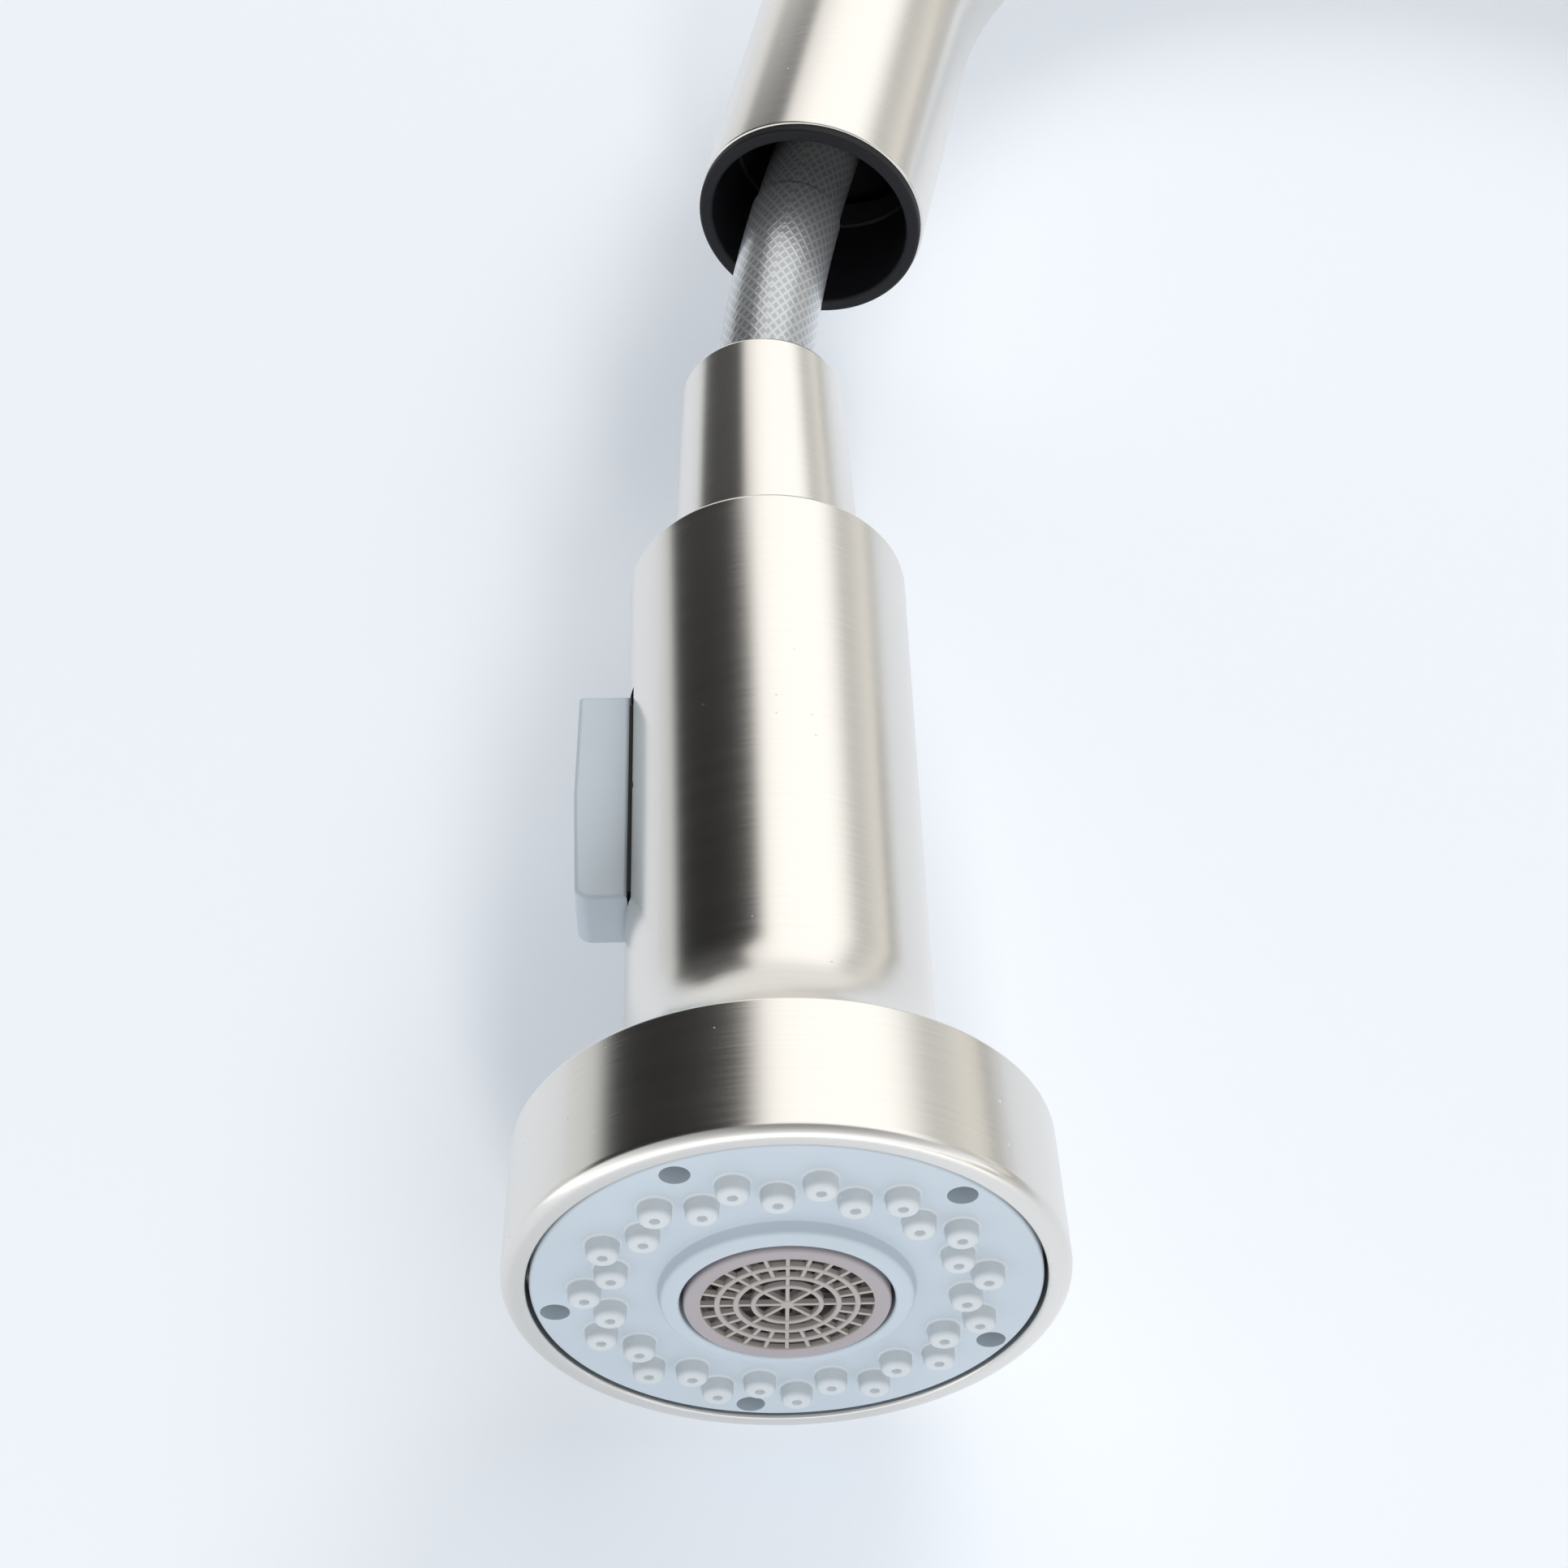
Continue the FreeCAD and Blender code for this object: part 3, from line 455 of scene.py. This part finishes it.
def combine(piece, other, operation):
    """Adds another piece to this one, or cuts it out, for good."""
    piece.modifiers.clear()
    join = piece.modifiers.new("join", "BOOLEAN")
    join.operation = operation
    join.object = other
    join.solver = "EXACT"
    bpy.context.view_layer.update()
    graph = bpy.context.evaluated_depsgraph_get()
    piece.data = bpy.data.meshes.new_from_object(piece.evaluated_get(graph))
    piece.modifiers.clear()
    bpy.data.objects.remove(other)


def cut_away(piece, cutter):
    combine(piece, cutter, "DIFFERENCE")


def stand_in(piece, body, slot, *replaced):
    """Rides a piece on a body, in place of CAD nodes."""
    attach(piece, body)
    if replaced:
        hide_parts(*replaced)


# ---- Spray head ----

def head_shell():
    ring_foot, ring, ring_height, grip, top = 27.4, 26.9, 15.1, 16.0, 93.6
    bore, neck_hole, face_seat = 14.0, 10.0, 24.95
    flare_centre, flare_across, flare_up = Vector((29.0, 31.5)), 13.0, 16.4
    flare_start, flare_steps = 76, 12
    outline = [(face_seat, 0, 0.35), (ring_foot, 0, 1.3), (ring, ring_height, 0.5)]
    for step in range(flare_steps + 1):
        angle = math.radians(flare_start - flare_start * step / flare_steps)
        place = flare_centre - Vector((flare_across * math.cos(angle), flare_up * math.sin(angle)))
        outline.append(tuple(place))
    outline += [(grip, top, 0.7), (neck_hole, top), (neck_hole, top - 3), (bore, top - 3), (bore, 24.0)]
    outline += [(18.0, 16.0), (23.0, 13.0), (face_seat, 12.0)]
    shell = turned("spray_head_shell", outline, AT_HEAD, "nickel", segments=192, steps=6)
    low, high, half = 44.5, 74.4, 4.8
    outside, inside = -30, -5
    window = [(outside, low), (inside, low), (inside, high), (outside, high)]
    cut_away(shell, side_profile("window_cutter", window, half, AT_HEAD, "nickel", 0.01))
    finish_mesh(shell, looks["nickel"])
    stand_in(shell, "spray_head", "nickel", "head_shell")


def neck():
    foot, shoulder, top, bore = 86, 93.6, 127.5, 8.05
    outline = [(bore, foot), (9.9, foot), (9.9, shoulder), (11.3, shoulder, 0.3), (9.9, top, 0.7)]
    outline += [(8.9, top, 0.2), (8.9, top - 5), (bore, top - 5)]
    piece = turned("neck_cone", outline, AT_HEAD, "nickel")
    stand_in(piece, nodes["neck_sleeve"]["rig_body"], "nickel", "neck_sleeve")


def on_face(radius, degrees):
    """A place on the spray face, at an angle from X."""
    angle = math.radians(degrees)
    return AT_HEAD @ Matrix.Translation(Vector((math.cos(angle), math.sin(angle), 0)) * radius * MM)


def face_plate():
    hole, rim, face, back = 10.3, 24.6, 0.3, 3
    outline = [(hole, -1.45, 0.3), (12.1, -1.05, 0.5), (12.4, face, 0.3), (rim, face, 0.35)]
    outline += [(rim, back), (hole, back)]
    plate = turned("spray_face", outline, AT_HEAD, "spray_grey", segments=192)
    key_holes, key_radius, key_circle = 5, 1.45, 22.6
    key_outline = [(0, -2), (key_radius, -2), (key_radius, 4), (0, 4)]
    for index in range(key_holes):
        place = on_face(key_circle, 45 + 360 / key_holes * index)
        cut_away(plate, turned("hole_cutter", key_outline, place, "spray_grey", segments=32))
    finish_mesh(plate, looks["spray_grey"])
    stand_in(plate, "spray_head", "spray_grey", "face_plate")


def nozzles():
    bm = bmesh.new()
    root, tip, base, mouth = 0.7, -1.35, 1.9, -0.8
    outline = [(0, root), (base, root), (base, 0.32), (1.62, 0.2, 0.15), (1.55, tip, 0.5)]
    outline += [(0.5, tip, 0.12), (0.38, mouth), (0, mouth)]
    points = rounded(outline, 4)
    per_ring = 15
    for radius, start in ((19.3, 8.8), (17.2, 20.8)):
        for index in range(per_ring):
            spin_into(bm, points, on_face(radius, start + 360 / per_ring * index), segments=32)
    piece = new_piece("spray_nozzles", bm, looks["nozzle_rubber"])
    stand_in(piece, "spray_head", "nozzle_rubber", "nozzle_mat")


def aerator():
    low, high, bar_width = -1.5, -0.9, 0.36
    outside, bore, lip, back, step_up = 9.95, 8.75, 8.4, 8.9, 0.3
    outline = [(lip, low, 0.1), (9.75, -1.6, 0.3), (outside, -1.2), (outside, back), (bore, back)]
    outline += [(bore, step_up), (lip, step_up)]
    rim = turned("aerator_rim", outline, AT_HEAD, "aerator_grey", segments=160)
    stand_in(rim, "spray_head", "aerator_grey", "aerator_housing")
    bm = bmesh.new()
    for outer, inner in ((8.5, 8.3), (7.0, 6.45), (5.2, 4.65), (3.5, 3.0)):
        ring = [(inner, low, 0.15), (outer, low, 0.15), (outer, high), (inner, high)]
        spin_into(bm, rounded(ring, 3), AT_HEAD)
    hub = [(0, low), (0.7, low, 0.2), (0.7, high), (0, high)]
    spin_into(bm, rounded(hub, 3), AT_HEAD, segments=24)
    for count, outer, inner in ((24, 8.5, 4.9), (8, 4.9, 0.5)):
        for index in range(count):
            turn = Matrix.Rotation(TURN * index / count, 4, "Z")
            shape = Matrix.Diagonal((outer - inner, bar_width, high - low - 0.1, 1))
            shift = Matrix.Translation(((outer + inner) / 2, 0, (high + low) / 2 + 0.05))
            spoke = bmesh.ops.create_cube(bm, size=1.0)["verts"]
            bmesh.ops.transform(bm, verts=spoke, matrix=AT_HEAD @ turn @ Matrix.Scale(MM, 4) @ shift @ shape)
    grid = new_piece("aerator_grid_bars", bm, looks["grid_grey"])
    stand_in(grid, "spray_head", "aerator_grey", "aerator_grid")


def button():
    low, middle_height, high, back = 45.2, 59.5, 73.7, -15.7
    outline = [(-21.2, low, 1.6), (-21.6, middle_height, 30), (-21.3, high, 0.5), (back, high), (back, low)]
    piece = side_profile("spray_selector", outline, 4.1, AT_HEAD, "button_grey", 0.7)
    stand_in(piece, "button", "button_grey", "spray_button")
    low, high, front = 46.2, 72.7, -16.2
    outline = [(front, low), (front, high), (-14.9, high, 0.3), (-14.2, middle_height, 3), (-14.9, low, 0.3)]
    skirt = side_profile("selector_skirt", outline, 3.7, AT_HEAD, "black_rubber", 0.2)
    stand_in(skirt, "button", "black_rubber")


# ---- Base, valve and lever ----

VALVE_HEIGHT = 85.0
BALL_CENTRE = 26
ALONG_X = Matrix.Translation((0, 0, VALVE_HEIGHT * MM)) @ Matrix.Rotation(math.pi / 2, 4, "Y")
AT_FOOT = Matrix.Identity(4)


def arc(radius, centre, first, last, steps=12):
    """Points (across, up) on a circle about (0, centre), between two heights."""
    low = math.asin((first - centre) / radius)
    high = math.asin((last - centre) / radius)
    angles = [low + (high - low) * step / steps for step in range(steps + 1)]
    return [(radius * math.cos(angle), centre + radius * math.sin(angle)) for angle in angles]


def body():
    foot, top, bore, outside = 7.5, 129.9, 16.8, 23
    outline = [(bore, foot), (outside, foot, 0.2), (outside, top), (bore, top)]
    column = turned("faucet_column", outline, AT_FOOT, "nickel")
    outline = [(15, 18), (17, 18), (17, 37.2, 0.3), (16.2, 37.2), (16.2, 38, 0.2), (15, 38)]
    boss = turned("boss_part", outline, ALONG_X, "nickel")
    combine(column, boss, "UNION")
    finish_mesh(column, looks["nickel"])
    stand_in(column, "base", "nickel", "faucet_body")
    outline = [(15.4, 130), (22.8, 130, 0.2), (outside, 130.6, 0.2), (outside, 132, 0.4), (19, 137, 0.5)]
    outline += [(15.4, 137, 0.2)]
    trim = turned("column_trim", outline, AT_FOOT, "nickel")
    stand_in(trim, "base", "nickel", "body_trim_ring")
    outline = [(16.6, 1.5), (27.5, 1.5, 0.2), (27.5, 5.5, 0.6), (25.5, foot, 0.5), (16.6, foot)]
    plate = turned("deck_escutcheon", outline, AT_FOOT, "nickel")
    stand_in(plate, "base", "nickel", "base_escutcheon")


def shank():
    root, crest, pitch, foot, top = 15.9, 16.5, 1.5, -60, 20
    outline = [(14, foot), (root, foot, 0.2)]
    for thread in range(int((-4 - foot) / pitch)):
        start = foot + 1 + thread * pitch
        outline += [(root, start), (crest, start + 0.6, 0.1), (crest, start + 0.9, 0.1)]
        outline += [(root, start + pitch - 0.05)]
    outline += [(16.4, -2), (16.4, top), (14, top)]
    piece = turned("threaded_tail", outline, AT_FOOT, "brass", steps=1)
    stand_in(piece, "base", "brass", "threaded_shank")


def lever():
    seat = 38.05
    outline = arc(20.5, BALL_CENTRE, seat, 43.72) + arc(18.9, BALL_CENTRE, 41.85, seat)
    dome = turned("valve_dome", outline, ALONG_X, "nickel")
    stand_in(dome, nodes["cartridge_dome"]["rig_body"], "nickel", "cartridge_dome")
    start, end, radius, ball = 39, 55, 17, 20.8
    ball_top = BALL_CENTRE + ball - 1e-4
    outline = [(16.24, start), (radius, start, 0.25), (radius, end, 0.9), (0, end)]
    outline += arc(ball, BALL_CENTRE, ball_top, start)
    hub = turned("lever_hub", outline, ALONG_X, "nickel")
    at_plug = Matrix.Translation((49 * MM, 0, 0))
    hole = turned("plug_cutter", [(0, 60), (1.5, 60), (1.5, 76), (0, 76)], at_plug, "nickel", segments=32)
    cut_away(hub, hole)
    finish_mesh(hub, looks["nickel"])
    stand_in(hub, "handle", "nickel", "handle_hub")
    foot, top = 96.5, 181
    outline = [(0, foot), (4.5, foot), (4.5, 105), (3.6, top, 0.9), (0, top)]
    at_lever = Matrix.Translation((48 * MM, 0, 0))
    blade = turned("lever_blade", outline, at_lever, "nickel", segments=64)
    stand_in(blade, "handle", "nickel", "handle_lever")


# ---- Spout and hose ----

def spout_line(along):
    """A place along the spout, in millimetres from the column's foot, with the directions across it."""
    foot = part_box("spout_tube")[0].z / MM
    column = ARC_HEIGHT - foot
    turn = math.pi - OUTLET_TILT
    if along <= column:
        return Vector((0, 0, foot + along)), Vector((1, 0, 0)), Vector((0, 1, 0))
    angle = min((along - column) / ARC_RADIUS, turn)
    out = Vector((0, math.cos(angle), math.sin(angle)))
    centre = Vector((0, -ARC_RADIUS, ARC_HEIGHT)) + out * ARC_RADIUS
    onward = Vector((0, -math.sin(angle), math.cos(angle)))
    centre += onward * max(0.0, along - column - turn * ARC_RADIUS)
    return centre, Vector((1, 0, 0)), out


def spout():
    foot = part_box("spout_tube")[0].z / MM
    length = ARC_HEIGHT - foot + (math.pi - OUTLET_TILT) * ARC_RADIUS + STRAIGHT_END - LIP_HEIGHT
    inner = TUBE_RADIUS - TUBE_WALL
    outline = [(inner, 0), (TUBE_RADIUS, 0), (TUBE_RADIUS, length, 0.3), (inner, length)]
    tube = turned("spout_arc_tube", outline, Matrix.Identity(4), "nickel", spout_line, 96, longest=3.0)
    # The inner wall's faces get the bore's painted near-black shade.
    tube.data.materials.append(looks["bore"])
    for face in tube.data.polygons:
        centre = spout_middle(face.center / MM)
        if (face.center / MM - centre).length < TUBE_RADIUS - TUBE_WALL / 2:
            face.material_index = 1
    stand_in(tube, "spout", "nickel", "spout_tube")
    bore, outside, skirt, top = 13.0, 14.8, 14.05, 16
    outline = [(bore, 0, 0.5), (outside, 0, 0.45), (outside, LIP_HEIGHT), (skirt, LIP_HEIGHT), (skirt, top)]
    outline += [(bore, top)]
    lip = turned("docking_lip", outline, AT_OUTLET, "black_plastic")
    stand_in(lip, "spout", "black_plastic", "docking_ring")


def spout_middle(place):
    """The nearest place on the spout's middle line, in millimetres."""
    if place.z <= ARC_HEIGHT and place.y > -ARC_RADIUS:
        return Vector((0, 0, place.z))
    arc_centre = Vector((0, -ARC_RADIUS, ARC_HEIGHT))
    out = Vector((0, place.y, place.z)) - arc_centre
    if math.atan2(out.z, out.y) > math.pi - OUTLET_TILT or out.z < 0:
        end = OUTLET / MM
        up = Vector((0, math.sin(OUTLET_TILT), math.cos(OUTLET_TILT)))
        return end + up * (place - end).dot(up)
    return arc_centre + out.normalized() * ARC_RADIUS


HOSE_RADIUS = 6.0


def exposed_hose():
    """The drawn-out hose: a stub in the spout, and the run below it down to the head, built at rest; on the
    real faucet that run lengthens when the head is pulled.
    """
    foot = HEAD / MM + Vector((0, 0, 123.5))
    bend = HEAD / MM + Vector((0, 0.3, 152.3))
    arc_end = Vector((0, -math.cos(OUTLET_TILT), math.sin(OUTLET_TILT))) * ARC_RADIUS
    top = Vector((0, -ARC_RADIUS, ARC_HEIGHT)) + arc_end

    def hose_line(share):
        here = foot.lerp(bend, share).lerp(bend.lerp(top, share), share)
        along = (bend.lerp(top, share) - foot.lerp(bend, share)).normalized()
        return here, Vector((1, 0, 0)), along.cross(Vector((1, 0, 0)))

    def run(name, radius, low, high, look):
        """A tube of hose between two shares of the line, open along its middle."""
        rows = 60
        points = [Vector((radius, low + (high - low) * row / rows)) for row in range(rows + 1)]
        points += [Vector((radius - 1.0, high)), Vector((radius - 1.0, low))]
        bm = bmesh.new()
        spin_into(bm, points, Matrix.Identity(4), hose_line, 64)
        return new_piece(name, bm, looks[look])

    join, overlap, stub_end = 0.57, 0.02, 0.98
    stub = run("hose_in_outlet", HOSE_RADIUS - 0.3, join - overlap, stub_end, "outlet_braid_painted_shade")
    stand_in(stub, "spout", "hose_braid")
    lower = run("hose_drawn_out", HOSE_RADIUS, 0.0, join, "hose_braid")
    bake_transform(lower)
    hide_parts("hose_exposed")


# The hose under the deck, from the shank round to its connector, in millimetres.
LOOP = [
    (0, 0, -60), (0, 0, -108), (3, 22, -180), (5, 50, -245), (5, 58, -305), (4, 22, -348),
    (2, -34, -350), (0, -74, -311), (-2, -80, -256), (-2, -62, -205), (0, -40, -158), (0, -40, -120)]


def hose_loop():
    curve = bpy.data.curves.new("loop_route", "CURVE")
    curve.dimensions = "3D"
    spline = curve.splines.new("NURBS")
    spline.points.add(len(LOOP) - 1)
    for point, place in zip(spline.points, LOOP):
        point.co = (*(Vector(place) * MM), 1)
    spline.order_u = 3
    spline.use_endpoint_u = True
    spline.resolution_u = 24
    route = bpy.data.objects.new("loop_route", curve)
    bpy.context.scene.collection.objects.link(route)
    bpy.context.view_layer.update()
    line = bpy.data.meshes.new_from_object(route.evaluated_get(bpy.context.evaluated_depsgraph_get()))
    path = [vert.co.copy() for vert in line.vertices]
    bpy.data.objects.remove(route)

    frames = []
    side = Vector((1, 0, 0))
    for index, place in enumerate(path):
        along = (path[min(index + 1, len(path) - 1)] - path[max(index - 1, 0)]).normalized()
        side = (side - along * side.dot(along)).normalized()
        frames.append((place / MM, side.copy(), along.cross(side)))
    reach = [0.0]
    for before, after in zip(path, path[1:]):
        reach.append(reach[-1] + (after - before).length / MM)
    places = dict(zip(reach, frames))
    points = [Vector((HOSE_RADIUS, distance)) for distance in reach]
    points = [Vector((0, 0))] + points + [Vector((0, reach[-1]))]
    bm = bmesh.new()
    spin_into(bm, points, Matrix.Identity(4), lambda y: nearest(places, y), 40)
    piece = new_piece("hose_below_deck", bm, looks["loop_braid"])
    stand_in(piece, "base", "hose_braid", "hose_loop")


def nearest(places, distance):
    """The frame kept for the distance nearest to this one."""
    return places[min(places, key=lambda key: abs(key - distance))]


# ---- Stage ----

def flat_board(name, look, size):
    bm = bmesh.new()
    bmesh.ops.create_grid(bm, x_segments=1, y_segments=1, size=size)
    mesh = bpy.data.meshes.new(name)
    bm.to_mesh(mesh)
    bm.free()
    mesh.materials.append(look.material)
    board = bpy.data.objects.new(name, mesh)
    bpy.context.scene.collection.objects.link(board)
    return board


def stage():
    """A pale floor below the hose's loop, and a pale board behind the head, seen from its front only."""
    card = Surface("board", (0.75, 0.77, 0.81), 0.95, Specular_IOR_Level=0.0)
    card.feed(card.shader, "Emission Color", (0.775, 0.85, 0.93, 1))
    card.feed(card.shader, "Emission Strength", 0.35)
    clear = card.node("BsdfTransparent")
    back = card.node("NewGeometry").outputs["Backfacing"]
    spot = card.node("SeparateXYZ", {0: card.spot()})
    fade_start, edge, scale = 0.33, 0.5, 0.55
    fades = []
    for axis in ("X", "Y"):
        fades.append(card.step(card.maths("ABSOLUTE", spot.outputs[axis]), fade_start, edge))
    gone = card.maths("MAXIMUM", card.maths("MAXIMUM", *fades), back)
    shown = card.node("MixShader", {0: gone, 1: card.shader.outputs[0], 2: clear.outputs[0]})
    card.tree.links.new(shown.outputs[0], card.tree.nodes["Material Output"].inputs[0])
    backdrop = flat_board("backdrop", card, edge)
    backdrop.rotation_euler = (0, math.radians(90), 0)
    backdrop.scale = (scale, scale, 1)
    backdrop.location = (-0.0275, HEAD.y, HEAD.z + 0.11)

    pale = Surface("floor", (0.72, 0.75, 0.78), 0.85)
    pale.feed(pale.shader, "Emission Color", (0.82, 0.87, 0.92, 1))
    pale.feed(pale.shader, "Emission Strength", 0.36)
    pale.feed(pale.shader, "Roughness", pale.between(pale.noise(pale.spot(), scale=30), 0.8, 0.9))
    floor = flat_board("floor", pale, 4.0)
    floor.location = (0, 0, cad_low.z - 0.012)
    floor.visible_diffuse = False
    floor.visible_glossy = False
    floor.visible_shadow = False


# Where the studio's one dark panel starts and ends, in degrees round from X, at a few heights in degrees.
DARK_FROM = [(0, -80), (34, -80), (42, -84), (52, -95), (62, -88), (74, -84)]
DARK_TO = [(0, -12), (34, -12), (43, -12), (52, -30), (62, -26), (74, -40)]
DARKNESS = [(0, 0.016), (42, 0.016), (52, 0.075), (62, 0.08), (90, 0.08)]

# The brightness of the studio's other walls, by degrees round from X.
WALLS = [
    (-180, (0.56, 0.57, 0.58)), (-120, (0.72, 0.74, 0.74)), (-60, (0.78, 0.80, 0.80)),
    (-20, (1.1, 1.08, 1.06)), (0, (1.34, 1.33, 1.30)), (44, (1.36, 1.36, 1.34)),
    (52, (1.15, 1.15, 1.13)), (62, (0.58, 0.59, 0.57)), (72, (0.68, 0.68, 0.66)),
    (83, (0.92, 0.90, 0.84)), (94, (0.78, 0.76, 0.72)), (108, (0.62, 0.61, 0.59)),
    (120, (0.66, 0.66, 0.66)), (127, (0.92, 0.93, 0.92)), (150, (0.78, 0.81, 0.84)),
    (180, (0.56, 0.57, 0.58))]

# The brightness below the horizon, from 0 straight along -X to 1 straight along +X.
GROUND = [
    (0.0, (1.5, 1.53, 1.55)), (0.5, (1.5, 1.53, 1.55)), (0.72, (0.75, 0.77, 0.8)),
    (1.0, (0.28, 0.29, 0.3))]
CEILING = (0.95, 0.95, 0.94, 1)
ROOM_SEEN = (0.871, 0.923, 0.983, 1)


def studio():
    """A pale room to the camera; a dark panel and bright walls round the object in its reflections."""
    world = bpy.data.worlds.new("studio")
    bpy.context.scene.world = world
    world.use_nodes = True
    room = Graph(world.node_tree)
    for item in list(room.tree.nodes):
        room.tree.nodes.remove(item)
    direction = room.node("SeparateXYZ", {0: room.node("TexCoord").outputs["Generated"]})
    across, side, up = direction.outputs
    angle = room.maths("DEGREES", room.maths("ARCTAN2", side, across))
    height = room.maths("DEGREES", room.maths("ARCSINE", up))

    def turn_at(stops):
        """An angle round from X that changes with height."""
        share = room.maths("DIVIDE", height, 90.0)
        shade = room.ramp(share, [(up / 90, (turn + 180) / 360) for up, turn in stops])
        return room.maths("SUBTRACT", room.maths("MULTIPLY", shade, 360.0), 180.0)

    def past(stops, soft):
        return room.step(room.maths("SUBTRACT", angle, turn_at(stops)), -soft, soft)

    inside = room.maths("SUBTRACT", past(DARK_FROM, 5.0), past(DARK_TO, 6.0))
    turned_share = room.maths("DIVIDE", room.maths("ADD", angle, 180.0), 360.0)
    walls = room.ramp(turned_share, [((degrees + 180) / 360, colour) for degrees, colour in WALLS])
    walls = room.mixed(room.step(height, 58.0, 66.0), walls, CEILING)
    inside = room.maths("MULTIPLY", inside, room.step(height, 69.0, 62.0))
    dark = room.ramp(room.maths("DIVIDE", height, 90.0), [(up / 90, shade) for up, shade in DARKNESS])
    walls = room.mixed(inside, walls, dark)
    ground = room.ramp(room.maths("MULTIPLY", room.maths("ADD", across, 1.0), 0.5), GROUND)
    whole = room.mixed(room.step(up, 0.02, -0.12), walls, ground)
    rays = room.node("LightPath").outputs
    strength = room.maths("SUBTRACT", 1.0, room.maths("MULTIPLY", rays["Is Diffuse Ray"], 0.3))
    light = room.node("Background", {"Color": whole, "Strength": strength})
    plain = room.node("Background", {"Color": ROOM_SEEN, "Strength": 1.0})
    both = room.node("MixShader", {0: rays["Is Camera Ray"], 1: light.outputs[0], 2: plain.outputs[0]})
    out = room.node("OutputWorld")
    room.tree.links.new(both.outputs[0], out.inputs["Surface"])


def lamp(name, offset, size, watts):
    """A round lamp aimed at the spray head, which the camera and reflections don't show."""
    data = bpy.data.lights.new(name, "AREA")
    data.shape = "DISK"
    data.size = size
    data.energy = watts
    data.color = (1.0, 0.98, 0.96)
    light = bpy.data.objects.new(name, data)
    bpy.context.scene.collection.objects.link(light)
    light.location = HEAD + Vector(offset)
    light.rotation_euler = (HEAD - light.location).to_track_quat("-Z", "Y").to_euler()
    light.visible_glossy = False
    light.visible_camera = False


def camera():
    """The view from the lever's side, low down, looking up at the spray face."""
    data = bpy.data.cameras.new("camera")
    data.sensor_width = 36.0
    data.lens = 65.7
    data.clip_start = 0.005
    data.clip_end = 20.0
    eye = bpy.data.objects.new("camera", data)
    bpy.context.scene.collection.objects.link(eye)
    forward = Vector((-0.7578, 0.0192, 0.6522)).normalized()
    up = Vector((0.6525, 0.0143, 0.7577))
    right = forward.cross(up).normalized()
    up = right.cross(forward)
    turn = Matrix((right, up, -forward)).transposed()
    place = HEAD + Vector((0.2386, -0.00484, -0.1414))
    eye.matrix_world = Matrix.Translation(place) @ turn.to_4x4()
    bpy.context.scene.camera = eye


# ---- Build ----

# Looks of carried-over CAD nodes that differ from the look with their slot's name, by slot and by node.
SLOT_LOOKS = {"nickel": "nickel_upright", "hose_braid": "stainless"}
# The aerator screen's near-black is painted shade of its recess.
# The button's pin, steel on the real head, is painted black as shade in the gap round the button.
# The docking magnet takes the bore's painted near-black shade.
NODE_LOOKS = {"aerator_screen": "screen_painted_shade", "button_pin": "black_rubber", "docking_magnet": "bore"}

camera()
hose_loop()
head_shell()
neck()
face_plate()
nozzles()
aerator()
button()
body()
shank()
lever()
spout()
exposed_hose()
for name, piece in nodes.items():
    for slot in piece.material_slots:
        own = SLOT_LOOKS.get(slot.material.name, slot.material.name)
        slot.material = looks[NODE_LOOKS.get(name, own)]
stage()
studio()
lamp("key", offset=(0.7, 0.5, 0.75), size=0.6, watts=3.0)
lamp("low_key", offset=(0.55, 0.12, -1.1), size=0.2, watts=6.2)
bpy.context.scene.view_settings.view_transform = "Standard"
